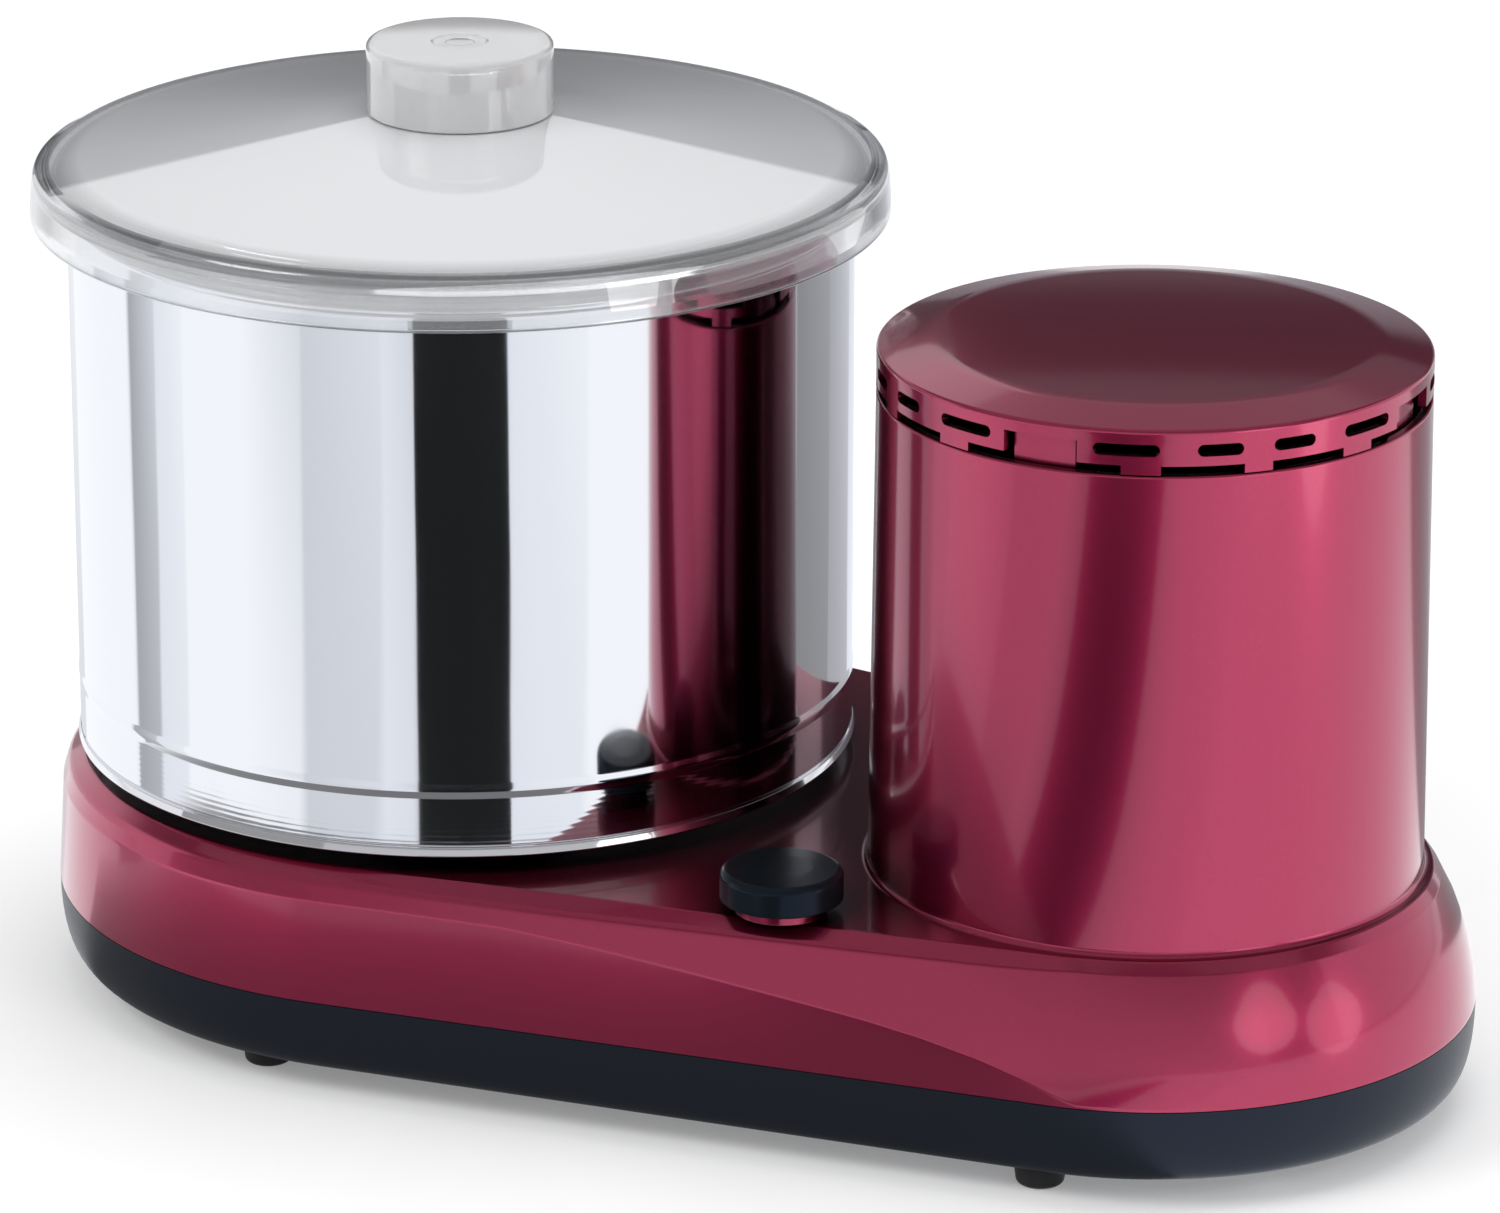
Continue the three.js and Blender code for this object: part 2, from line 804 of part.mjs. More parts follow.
function baseTray() {
  const levels = tuckShares.map(([rise, drumShare, motorShare]) => [
    rise,
    drumShare * drumTuck,
    motorShare * motorTuck,
  ]);
  const outside = loft(
    levels.map(([rise, drumInset, motorInset]) =>
      levelRing(baseEnds, drumInset, motorInset, trayBottom + rise * trayHeight),
    ),
  );
  const inside = loft([
    ...levels.filter((level, i) => i % 2 === 0).map(([rise, drumInset, motorInset]) => {
      const height = trayFloorTop + rise * (trayHeight - trayFloor);
      return levelRing(baseEnds, drumInset + trayWall, motorInset + trayWall, height);
    }),
    levelRing(baseEnds, trayWall, trayWall, trayTop + cutOver),
  ]);
  const lipInset = shellWall + lipClearance;
  const posts = screwPlaces().map(([x, y]) =>
    disc(screwPostRadius, trayFloorTop - trayFloor / 2, plateBottom - seatGap, tinySides).translate(x, y, 0),
  );
  const under = trayBottom - cutOver;
  const sinks = screwPlaces().map(([x, y]) =>
    disc(screwHeadRadius + screwPlay, under, trayBottom + screwSink, tinySides).translate(x, y, 0),
  );
  const screwHoles = screwPlaces().map(([x, y]) =>
    disc(screwRadius + screwPlay, under, plateBottom + cutOver, tinySides).translate(x, y, 0),
  );
  const stemHoles = Object.values(footPlaces()).map(([x, y]) =>
    disc(footStemRadius + seatGap, under, trayFloorTop + cutOver, tinySides).translate(x, y, 0),
  );
  return cut(
    join(
      cut(outside, inside),
      baseRim(lipInset, lipInset + lipWall, trayTop - lipHeight, trayTop + lipHeight),
      ...posts,
    ),
    ...sinks,
    ...screwHoles,
    ...stemHoles,
    ...traySlots(),
    glandHole(),
  );
}

// Air slots in the tray's floor, under the motor.
function traySlots() {
  const end = slotWidth / 2;
  const half = slotLength / 2 - end;
  const shape = new THREE.Shape();
  shape.absarc(half, 0, end, -Math.PI / 2, Math.PI / 2, false);
  shape.absarc(-half, 0, end, Math.PI / 2, (3 * Math.PI) / 2, false);
  const slots = [];
  for (let i = 0; i < slotCount; i += 1) {
    const slot = raised(shape, trayBottom - cutOver, trayFloorTop + cutOver, bendSteps);
    slots.push(slot.translate(motorX, (i - (slotCount - 1) / 2) * slotPitch, 0));
  }
  return slots;
}

// Turns a piece that stands on Z so that it lies along the gland's axis, from the base's outline outwards.
function laidInGland(geometry) {
  const { x, y, angle, height } = glandPlace();
  return geometry.rotateY(Math.PI / 2).rotateZ(angle).translate(x, y, height);
}

function glandHole() {
  return laidInGland(disc(glandNeck + seatGap, -2 * trayWall, cutOver, smallSides));
}

function cordGland() {
  const flangeStart = glandDraftClearance;
  const flangeEnd = flangeStart + glandFlangeThickness;
  const innerEnd = -trayWall - glandInnerClearance;
  return laidInGland(
    turnedRing(
      [
        [glandBore, innerEnd - glandFlangeThickness],
        [glandRidge, innerEnd - glandFlangeThickness],
        [glandRidge, innerEnd],
        [glandNeck, innerEnd],
        [glandNeck, flangeStart],
        [glandFlange, flangeStart],
        [glandFlange, flangeEnd],
        [glandSleeve, flangeEnd],
        [glandNeck, glandReach],
        [glandBore, glandReach],
      ],
      smallSides,
    ),
  );
}

function foot() {
  return turned(
    [
      [0, 0],
      [footRadius - footTaper, 0],
      [footRadius, footHeight],
      [footStemRadius, footHeight],
      [footStemRadius, trayFloorTop + seatGap],
      [footHeadRadius, trayFloorTop + seatGap],
      [footStemRadius, trayFloorTop + seatGap + footHeadHeight],
      [0, trayFloorTop + seatGap + footHeadHeight],
    ],
    smallSides,
  );
}

function trayScrew() {
  const headTop = trayBottom + screwSink - seatGap;
  return turned(
    [
      [0, headTop - screwHeadHeight],
      [screwHeadRadius, headTop - screwHeadHeight],
      [screwHeadRadius, headTop],
      [screwRadius, headTop],
      [screwRadius, plateTop + screwGrip - seatGap],
      [0, plateTop + screwGrip - seatGap],
    ],
    tinySides,
  );
}

function chassisPlate() {
  const holeBottom = plateBottom - cutOver;
  const holeTop = plateTop + cutOver;
  const screwHoles = screwPlaces().map(([x, y]) =>
    disc(screwRadius + screwPlay, holeBottom, holeTop, tinySides).translate(x, y, 0),
  );
  const boltHoles = boltPlaces().map(([x, y]) =>
    disc(boltRadius + screwPlay, holeBottom, holeTop, tinySides).translate(motorX + x, y, 0),
  );
  return cut(
    baseSlab(plateDrumInset, plateMotorInset, plateBottom, plateTop),
    disc(plateHoleRadius, holeBottom, holeTop, smallSides).translate(drumX, 0, 0),
    disc(plateHoleRadius, holeBottom, holeTop, smallSides).translate(motorX, 0, 0),
    ...screwHoles,
    ...boltHoles,
  );
}

// Bent strap under the driven pulley, with a hole for the centre post.
function bridgeBar() {
  const half = barWidth / 2;
  const legOutside = barReach + barThickness;
  const flangeTop = plateBottom - seatGap;
  const flangeBottom = flangeTop - barThickness;
  const parts = [];
  for (const side of [-1, 1]) {
    const leg = block(-half, half, barReach, legOutside, barBottom, flangeTop);
    const flange = block(-half, half, barReach, legOutside + barFlange, flangeBottom, flangeTop);
    parts.push(leg.scale(1, side, 1), flange.scale(1, side, 1));
  }
  return cut(
    join(block(-half, half, -legOutside, legOutside, barBottom, barTop), ...parts),
    disc(postThreadRadius + seatGap, barBottom - cutOver, barTop + cutOver, smallSides),
  );
}

function centrePost() {
  const collarBottom = barTop + seatGap;
  return turned(
    [
      [0, nutBottom],
      [postThreadRadius, nutBottom],
      [postThreadRadius, collarBottom],
      [postCollarRadius, collarBottom],
      [postCollarRadius, collarBottom + postCollarHeight],
      [postRadius, collarBottom + postCollarHeight],
      [postRadius, hubTop],
      [postTipRadius, hubTop + runGap],
      [postTipRadius, postTop],
      [0, postTop],
    ],
    smallSides,
  );
}

function postNut() {
  const hexagon = new THREE.Shape();
  for (let i = 0; i < 6; i += 1) {
    const angle = (i * fullTurn) / 6;
    hexagon[i === 0 ? "moveTo" : "lineTo"](nutRadius * Math.cos(angle), nutRadius * Math.sin(angle));
  }
  const nutTop = nutBottom + nutHeight;
  const bore = disc(postThreadRadius + seatGap, nutBottom - cutOver, nutTop + cutOver, smallSides);
  return cut(raised(hexagon, nutBottom, nutTop), bore);
}

function spindleHousing() {
  const lipRadius = housingBore - housingLipReach;
  const flangeTop = housingBottom + housingFlangeThickness;
  return turnedRing(
    [
      [lipRadius, housingBottom],
      [housingRadius + housingFlange, housingBottom],
      [housingRadius + housingFlange, flangeTop],
      [housingRadius + housingLip, flangeTop],
      [housingRadius, flangeTop + housingLip],
      [housingRadius, housingTop],
      [housingBore, housingTop],
      [housingBore, housingBottom + housingLip],
      [lipRadius, housingBottom + housingLip],
    ],
    smallSides,
  );
}

function bearing(bore, radius, bottom) {
  return tube(bore, radius, bottom, bottom + bearingWidth, smallSides);
}

function drumSpindle() {
  const bore = postRadius + runGap;
  const shoulderBottom = lowerBearingBottom + bearingWidth + seatGap;
  const shoulderTop = upperBearingBottom - seatGap;
  return turnedRing(
    [
      [bore, pulleyBottom],
      [spindleRadius, pulleyBottom],
      [spindleRadius, shoulderBottom],
      [spindleRadius + spindleShoulder, shoulderBottom],
      [spindleRadius + spindleShoulder, shoulderTop],
      [spindleRadius, shoulderTop],
      [spindleRadius, spindleTop],
      [bore, spindleTop],
    ],
    smallSides,
  );
}

function drivenPulley() {
  const bore = spindleRadius + seatGap;
  const rimBottom = pulleyBottom + (pulleyHeight - rimHeight) / 2;
  const rimTop = rimBottom + rimHeight;
  const webBottom = pulleyBottom + (pulleyHeight - webThickness) / 2;
  const webTop = webBottom + webThickness;
  const rimInside = drivenPulleyRadius - rimWall;
  const wheel = turnedRing(
    [
      [bore, pulleyBottom],
      [pulleyHubRadius, pulleyBottom],
      [pulleyHubRadius, webBottom],
      [rimInside, webBottom],
      [rimInside, rimBottom],
      [drivenPulleyRadius, rimBottom],
      [drivenPulleyRadius, rimTop],
      [rimInside, rimTop],
      [rimInside, webTop],
      [pulleyHubRadius, webTop],
      [pulleyHubRadius, pulleyTop],
      [bore, pulleyTop],
    ],
    hiddenSides,
  );
  const holes = [];
  for (let i = 0; i < webHoleCount; i += 1) {
    const hole = disc(webHoleRadius, webBottom - cutOver, webTop + cutOver, tinySides);
    hole.translate((pulleyHubRadius + rimInside) / 2, 0, 0);
    holes.push(hole.rotateZ((i * fullTurn) / webHoleCount));
  }
  return cut(wheel, ...holes);
}

function motorPulley() {
  const rimBottom = pulleyBottom + (pulleyHeight - rimHeight) / 2;
  const rimTop = rimBottom + rimHeight;
  const bore = shaftRadius + seatGap;
  const flange = motorPulleyRadius + rimFlange;
  return turnedRing(
    [
      [bore, rimBottom],
      [flange, rimBottom],
      [flange, rimBottom + rimFlangeThickness],
      [motorPulleyRadius, rimBottom + rimFlangeThickness],
      [motorPulleyRadius, rimTop - rimFlangeThickness],
      [flange, rimTop - rimFlangeThickness],
      [flange, rimTop],
      [bore, rimTop],
    ],
    smallSides,
  );
}

function driveBelt() {
  const bottom = pulleyBottom + (pulleyHeight - beltWidth) / 2;
  const top = bottom + beltWidth;
  const lean = Math.acos((drivenPulleyRadius - motorPulleyRadius) / axisSpacing);
  // The belt's flats stay clear of the pulleys' corners as they turn.
  const drivenInside = (drivenPulleyRadius + seatGap) / Math.cos((Math.PI - lean) / drumEndSides);
  const motorInside = (motorPulleyRadius + seatGap) / Math.cos(lean / motorEndSides);
  const inside = roundEnds(drivenInside, motorInside);
  const outside = roundEnds(drivenInside + beltThickness, motorInside + beltThickness);
  return cut(
    loft([levelRing(outside, 0, 0, bottom), levelRing(outside, 0, 0, top)]),
    loft([levelRing(inside, 0, 0, bottom - cutOver), levelRing(inside, 0, 0, top + cutOver)]),
  );
}

function driveCoupling() {
  const plate = tube(spindleRadius + seatGap, couplingRadius, couplingBottom, couplingTop, smallSides);
  const dogs = [];
  for (let i = 0; i < dogCount; i += 1) {
    const middle = (i * 360) / dogCount;
    dogs.push(sector(dogInnerRadius, dogOuterRadius, middle, dogAngle, couplingTop - couplingSink, dogTop));
  }
  return join(plate, ...dogs);
}

function couplingSocket() {
  const flange = tube(tubeRadius + seatGap, socketRadius, socketBottom, socketTop, smallSides);
  const lugs = [];
  for (let i = 0; i < dogCount; i += 1) {
    const middle = ((i + 1 / 2) * 360) / dogCount;
    const lugTop = socketBottom + socketThickness / 2;
    lugs.push(sector(dogInnerRadius, dogOuterRadius, middle, dogAngle, dogTop - dogEngagement, lugTop));
  }
  return join(flange, ...lugs);
}

function drumShell() {
  const ringTop = drumBottom + drumRingHeight;
  const grooveTop = ringTop + drumGroove;
  const beadMiddle = drumBottom + drumBandHeight;
  const rimBottom = drumRimTop - drumRimHeight;
  const rimOuter = drumRadius + drumRimProud;
  const rimMiddle = (rimBottom + drumRimTop) / 2;
  const hole = tubeBore + stoneHoleClearance;
  const innerCorner = [drumInside, drumFloorTop];
  const wallStart = [drumInside, drumFloorTop + drumCornerRadius];
  const floorEnd = [drumInside - drumCornerRadius, drumFloorTop];
  return turnedRing(
    [
      [drumInside, drumBottom],
      [drumRadius + drumRingProud, drumBottom],
      [drumRadius + drumRingProud, ringTop],
      [drumRadius - drumGroove, ringTop],
      [drumRadius - drumGroove, grooveTop],
      [drumRadius, grooveTop + drumGroove],
      [drumRadius, beadMiddle - drumBeadHeight],
      [drumRadius + drumBeadProud, beadMiddle],
      [drumRadius, beadMiddle + drumBeadHeight],
      [drumRadius, rimBottom],
      ...bend([drumRadius, rimBottom], [rimOuter, rimBottom], [rimOuter, rimMiddle]),
      [rimOuter, rimMiddle],
      ...bend([rimOuter, rimMiddle], [rimOuter, drumRimTop], [drumRadius, drumRimTop]),
      [drumRadius, drumRimTop],
      [drumInside, drumRimTop - drumWall],
      wallStart,
      ...bend(wallStart, innerCorner, floorEnd),
      floorEnd,
      [hole, drumFloorTop],
      [hole, drumFloorBottom],
      [drumInside - drumCornerRadius, drumFloorBottom],
      [drumInside, drumFloorBottom - drumCornerRadius],
    ],
    wideSides,
  );
}

function drumTube() {
  return turnedRing(
    [
      [tubeBore, tubeBottom],
      [tubeFlangeRadius, tubeBottom],
      [tubeFlangeRadius, tubeBottom + tubeFlangeThickness],
      [tubeRadius, tubeBottom + tubeFlangeThickness],
      [tubeRadius, tubeTop],
      [tubeBore, tubeTop],
    ],
    smallSides,
  );
}

function baseStone() {
  const radius = drumInside - stoneClearance;
  const hole = tubeFlangeRadius + stoneHoleClearance;
  return turnedRing(
    [
      [hole, tubeBottom],
      [radius - stoneBevel, tubeBottom],
      [radius, tubeBottom + stoneBevel],
      [radius, stoneTop],
      [hole, stoneTop],
    ],
    wideSides,
  );
}

function hubSleeve() {
  return turnedRing(
    [
      [hubBore, hubBottom],
      [hubRadius, hubBottom],
      [hubRadius, springSeatBottom],
      [springSeatRadius, springSeatBottom],
      [springSeatRadius, hubCapBottom],
      [hubRadius, hubCapBottom],
      [hubRadius, hubTop],
      [postRadius + runGap, hubTop],
      [postRadius + runGap, hubCapBottom],
      [hubBore, hubCapBottom],
    ],
    smallSides,
  );
}

// Lays a piece that stands on Z along a roller's axis, which tilts up and out from the middle of the stone.
function laidOnRoller(geometry, side) {
  return geometry
    .rotateY(Math.PI / 2 - rollerTilt)
    .translate(0, 0, rollerApex)
    .rotateZ(side === "a" ? 0 : Math.PI);
}

// Collar round the hub, with a boss for each roller's pin.
function rollerYoke() {
  const bosses = ["a", "b"].map((side) =>
    laidOnRoller(disc(yokeBossRadius, hubRadius, yokeBossFar, smallSides), side),
  );
  const pinHoles = ["a", "b"].map((side) =>
    laidOnRoller(disc(pinRadius + seatGap, pinNear - seatGap, yokeBossFar + cutOver, tinySides), side),
  );
  return cut(
    join(disc(yokeRadius, yokeBottom, yokeTop, middleSides), ...bosses),
    disc(hubRadius + runGap, yokeBottom - yokeBossRadius, yokeTop + cutOver, smallSides),
    ...pinHoles,
  );
}

function rollerPin(side) {
  const headNear = bushFar + runGap;
  const profile = [
    [0, pinNear],
    [pinRadius, pinNear],
    [pinRadius, headNear],
    [pinHeadRadius, headNear],
    [pinHeadRadius, headNear + pinHeadHeight],
    [0, headNear + pinHeadHeight],
  ];
  return laidOnRoller(turned(profile, tinySides), side);
}

function rollerStone(side) {
  const wideEnd = (rollerFar - rollerBevel) * rollerSpread;
  const profile = [
    [rollerBoreRadius, rollerNear],
    [rollerNear * rollerSpread, rollerNear],
    [wideEnd, rollerFar - rollerBevel],
    [wideEnd - rollerBevel, rollerFar],
    [rollerBoreRadius, rollerFar],
  ];
  return laidOnRoller(turnedRing(profile, middleSides), side);
}

function rollerBush(side) {
  return laidOnRoller(
    tube(pinRadius + runGap, rollerBoreRadius - seatGap, bushNear, bushFar, smallSides),
    side,
  );
}

function scraperArm() {
  const reach = drumInside - bladeClearance - bladeWidth - seatGap;
  const half = armWidth / 2;
  const ring = tube(hubRadius + runGap, yokeRadius, armBottom, armTop, smallSides);
  const bar = block(-half, half, hubRadius + springClearance, reach, armBottom, armTop);
  const tab = block(-half, half, reach - armThickness, reach, armBottom - armWidth, armTop);
  return join(ring, bar, tab);
}

function scraperBlade() {
  const far = drumInside - bladeClearance;
  const near = far - bladeWidth;
  const bottom = stoneTop + bladeRise;
  const outline = new THREE.Shape([
    new THREE.Vector2(near + bladeLean, bottom),
    new THREE.Vector2(far, bottom),
    new THREE.Vector2(far, bottom + bladeHeight),
    new THREE.Vector2(near + bladeLean, bottom + bladeHeight),
    new THREE.Vector2(near, bottom + bladeHeight - bladeLean),
    new THREE.Vector2(near, bottom + bladeLean),
  ]);
  const plate = new THREE.ExtrudeGeometry(outline, { depth: bladeThickness, bevelEnabled: false });
  return plate.rotateX(Math.PI / 2).rotateZ(Math.PI / 2).translate(-bladeThickness / 2, 0, 0);
}

// The way of a coil spring's wire round Z.
class SpringPath extends THREE.Curve {
  constructor(radius, bottom, top, turns) {
    super();
    Object.assign(this, { radius, bottom, top, turns });
  }

  getPoint(share, target = new THREE.Vector3()) {
    const angle = share * this.turns * fullTurn;
    const height = THREE.MathUtils.lerp(this.bottom, this.top, share);
    return target.set(this.radius * Math.cos(angle), this.radius * Math.sin(angle), height);
  }
}

function tensionSpring() {
  const endReach = springWireRadius + springClearance;
  const radius = hubRadius + runGap + springWireRadius + springClearance;
  const path = new SpringPath(radius, armTop + endReach, springSeatBottom - endReach, springTurns);
  const section = new THREE.Shape();
  section.absarc(0, 0, springWireRadius, 0, fullTurn, false);
  return new THREE.ExtrudeGeometry(section, {
    steps: springTurns * springStepsPerTurn,
    curveSegments: springSides / 2,
    bevelEnabled: false,
    extrudePath: path,
  });
}

function lockKnob() {
  const top = knobBottom + knobGrip + knobCrown;
  const bore = postTipRadius + runGap;
  const body = turned(
    [
      [0, postTop + knobHeadroom],
      [bore, postTop + knobHeadroom],
      [bore, knobBottom],
      [knobRadius, knobBottom],
      [knobRadius, knobBottom + knobGrip],
      [knobRadius - knobCrownInset, top],
      [0, top],
    ],
    middleSides,
  );
  const flutes = [];
  for (let i = 0; i < knobFlutes; i += 1) {
    const flute = disc(knobFluteRadius, knobBottom - cutOver, top + cutOver, tinySides);
    flutes.push(flute.translate(knobRadius + knobFluteRadius / 2, 0, 0).rotateZ((i * fullTurn) / knobFlutes));
  }
  return cut(body, ...flutes);
}

function lidCover() {
  const skirtBottom = drumRimTop + seatGap - lidSkirtDrop;
  const skirtInside = lidRadius - lidWall;
  const skirtTop = skirtBottom + lidSkirtHeight;
  const edge = [lidRadius - lidEdgeInset, lidSeat + lidEdgeHeight];
  const skirtEdge = [lidRadius, skirtTop];
  const seatOutside = drumRadius + drumRimProud + lidSeatWall;
  const ribOutside = drumInside - lidRibClearance;
  const ribInside = ribOutside - lidRibWall;
  const slope = lidRise / (edge[0] - lidKnobRadius);
  const underEdge = edge[1] - lidWall;
  const screwHole = lidScrewRadius + seatGap;
  return turnedRing(
    [
      [screwHole, lidTop],
      [lidKnobRadius, lidTop],
      edge,
      ...bend(edge, [lidRadius, edge[1]], skirtEdge),
      skirtEdge,
      [lidRadius, skirtBottom],
      [skirtInside, skirtBottom],
      [skirtInside, skirtTop - lidWall],
      [seatOutside, underEdge],
      [seatOutside, lidSeat],
      [ribOutside, lidSeat],
      [ribOutside, lidSeat - lidRibDrop],
      [ribInside, lidSeat - lidRibDrop],
      [ribInside, underEdge + slope * (edge[0] - ribInside)],
      [lidKnobRadius, lidTop - lidWall],
      [screwHole, lidTop - lidWall],
    ],
    wideSides,
  );
}

// The lid's hollow knob, open at the bottom, with a boss for its screw.
function lidKnob() {
  const inside = lidKnobRadius - lidKnobWall;
  const ceiling = lidKnobTop - lidKnobWall - lidKnobDimpleDepth;
  const screwBore = lidScrewRadius + seatGap;
  const boreTop = lidKnobBottom + lidScrewReach + seatGap;
  const roundStart = [lidKnobRadius, lidKnobTop - lidKnobRound];
  const roundEnd = [lidKnobRadius - lidKnobRound, lidKnobTop];
  return turned(
    [
      [0, boreTop],
      [screwBore, boreTop],
      [screwBore, lidKnobBottom],
      [lidKnobBossRadius, lidKnobBottom],
      [lidKnobBossRadius, ceiling],
      [inside, ceiling],
      [inside, lidKnobBottom],
      [lidKnobRadius, lidKnobBottom],
      roundStart,
      ...bend(roundStart, [lidKnobRadius, lidKnobTop], roundEnd),
      roundEnd,
      [lidKnobDimpleRadius, lidKnobTop],
      [lidKnobDimpleRadius - lidKnobDimpleDepth, lidKnobTop - lidKnobDimpleDepth],
      [0, lidKnobTop - lidKnobDimpleDepth],
    ],
    middleSides,
  );
}

function lidKnobScrew() {
  const headTop = lidTop - lidWall - seatGap;
  return turned(
    [
      [0, headTop - lidScrewHeadHeight],
      [lidScrewHeadRadius, headTop - lidScrewHeadHeight],
      [lidScrewHeadRadius, headTop],
      [lidScrewRadius, headTop],
      [lidScrewRadius, lidKnobBottom + lidScrewReach],
      [0, lidKnobBottom + lidScrewReach],
    ],
    tinySides,
  );
}

function motorCover() {
  const bandInside = towerTopRadius - coverWall;
  const rollStart = [towerTopRadius, coverBandTop];
  const rollEnd = [towerTopRadius - coverEdgeRadius, coverBandTop + coverEdgeRadius];
  const domeShares = [0.7, 0.35];
  const dome = domeShares.map((share) => [
    rollEnd[0] * share,
    rollEnd[1] + coverDomeRise * (1 - share * share),
  ]);
  const domeTop = rollEnd[1] + coverDomeRise;
  const cap = turned(
    [
      [0, domeTop - coverWall],
      ...[...dome].reverse().map(([radius, height]) => [radius, height - coverWall]),
      [rollEnd[0] - coverWall, rollEnd[1] - coverWall],
      [bandInside, coverBandTop],
      [bandInside, coverBottom],
      [towerTopRadius, coverBottom],
      rollStart,
      ...bend(rollStart, [towerTopRadius, rollEnd[1]], rollEnd),
      rollEnd,
      ...dome,
      [0, domeTop],
    ],
    wideSides,
  );
  const slotTop = coverBandTop - coverTopBar;
  const notchTop = coverBottom + coverNotchHeight;
  const near = bandInside - cutOver;
  const far = towerTopRadius + cutOver;
  const vents = [];
  const clips = [];
  for (let quarter = 0; quarter < quarterCount; quarter += 1) {
    const turn = (quarter * 360) / quarterCount;
    vents.push(sector(near, far, turn, windowAngle, coverBottom - cutOver, slotTop));
    for (const [middle, width] of slotAngles) {
      vents.push(sector(near, far, turn + middle, width, slotTop - coverSlotHeight, slotTop, 1));
    }
    for (const [middle, width] of notchAngles) {
      vents.push(sector(near, far, turn + middle, width, coverBottom - cutOver, notchTop, 1));
    }
    const clipOutside = towerTopInside - clipClearance;
    const clipInside = clipOutside - clipWall;
    clips.push(sector(clipInside, clipOutside, turn, clipAngle, coverBottom - clipDrop, coverBandTop));
    clips.push(sector(clipInside, bandInside + clipBridge, turn, clipAngle, slotTop, coverBandTop));
  }
  return join(cut(cap, ...vents), ...clips);
}

// Motor bracket: a wall with a rim for the stator, and a web with a boss for the bearing, in one profile.
// webFace is the web's outer face, and toRim is 1 where the rim is above it, or -1 where it is below.
function motorBracket(far, rim, webFace, toRim, earBottom) {
  const bore = motorBearingRadius + seatGap;
  const bossRadius = bore + bearingBossWall;
  const rimUnder = rim - toRim * bracketWebThickness;
  const webBack = webFace + toRim * bracketWebThickness;
  const bossEnd = webFace + toRim * bearingBossHeight;
  const lipBack = webFace + toRim * bearingBossLip;
  const round = turnedRing(
    [
      [bore - bearingLipReach, webFace],
      [bracketInside, webFace],
      [bracketInside, far],
      [bracketRadius, far],
      [bracketRadius, rim],
      [bracketRadius - bracketRimReach, rim],
      [bracketRadius - bracketRimReach, rimUnder],
      [bracketInside, rimUnder],
      [bracketInside, webBack],
      [bossRadius, webBack],
      [bossRadius, bossEnd],
      [bore, bossEnd],
      [bore, lipBack],
      [bore - bearingLipReach, lipBack],
    ],
    hiddenSides,
  );
  const earTop = earBottom + bracketFlange;
  const ears = boltPlaces().map(([x, y]) => disc(earRadius, earBottom, earTop, tinySides).translate(x, y, 0));
  const boltHoles = boltPlaces().map(([x, y]) =>
    disc(boltRadius + screwPlay, earBottom - cutOver, earTop + cutOver, tinySides).translate(x, y, 0),
  );
  return cut(join(round, ...ears), ...boltHoles);
}

function lowerMotorBracket() {
  const half = bracketWindowWidth / 2;
  const far = bracketRadius + cutOver;
  const bottom = lowerBracketBottom + bracketWindowRise;
  const windowX = block(-far, far, -half, half, bottom, bottom + bracketWindowHeight);
  const windowY = block(-half, half, -far, far, bottom, bottom + bracketWindowHeight);
  const bracket = motorBracket(lowerBracketBottom, lowerBracketTop, lowerBossBottom, 1, lowerBracketBottom);
  return cut(bracket, windowX, windowY);
}

function upperMotorBracket() {
  return motorBracket(upperBracketTop, upperBracketBottom, upperBracketTop, -1, upperBracketBottom);
}

function statorWinding() {
  const sleeve = windingInside + windingSleeve;
  return turnedRing(
    [
      [windingInside, statorBottom - windingReach],
      [windingRadius, statorBottom - windingReach],
      [windingRadius, statorBottom - seatGap],
      [sleeve, statorBottom - seatGap],
      [sleeve, statorTop + seatGap],
      [windingRadius, statorTop + seatGap],
      [windingRadius, statorTop + windingReach],
      [windingInside, statorTop + windingReach],
    ],
    hiddenSides,
  );
}

function statorCore() {
  return tube(windingInside + windingSleeve + seatGap, statorRadius, statorBottom, statorTop, hiddenSides);
}

function rotorCore() {
  return tube(shaftRadius + seatGap, rotorRadius, statorBottom, statorTop, hiddenSides);
}

function motorShaft() {
  const top = fanBottom + fanHeight + shaftAboveFan;
  return disc(shaftRadius, pulleyBottom - shaftBelowPulley, top, smallSides);
}

function motorBolt() {
  const headBottom = upperBracketBottom + bracketFlange + seatGap;
  const tip = plateBottom - seatGap;
  return turned(
    [
      [0, tip],
      [boltRadius, tip],
      [boltRadius, headBottom],
      [boltHeadRadius, headBottom],
      [boltHeadRadius, headBottom + boltHeadHeight],
      [0, headBottom + boltHeadHeight],
    ],
    tinySides,
  );
}

function coolingFan() {
  const bore = shaftRadius + seatGap;
  const top = fanBottom + fanHeight;
  const half = fanBladeThickness / 2;
  const near = fanHubRadius - fanBladeThickness;
  const blades = [];
  for (let i = 0; i < fanBladeCount; i += 1) {
    const blade = block(near, fanRadius, -half, half, fanBottom + fanDiscThickness / 2, top);
    blades.push(blade.rotateZ((i * fullTurn) / fanBladeCount));
  }
  return join(
    tube(bore, fanRadius, fanBottom, fanBottom + fanDiscThickness, hiddenSides),
    tube(bore, fanHubRadius, fanBottom, top, smallSides),
    ...blades,
  );
}

// The capacitor's place behind the stator, from the motor axis.
const capacitorPlace = towerTopInside + towerDraft - capacitorRadius - capacitorAir;

function capacitor() {
  const bottom = plateTop + seatGap;
  return disc(capacitorRadius, bottom, bottom + capacitorHeight, smallSides).translate(0, capacitorPlace, 0);
}

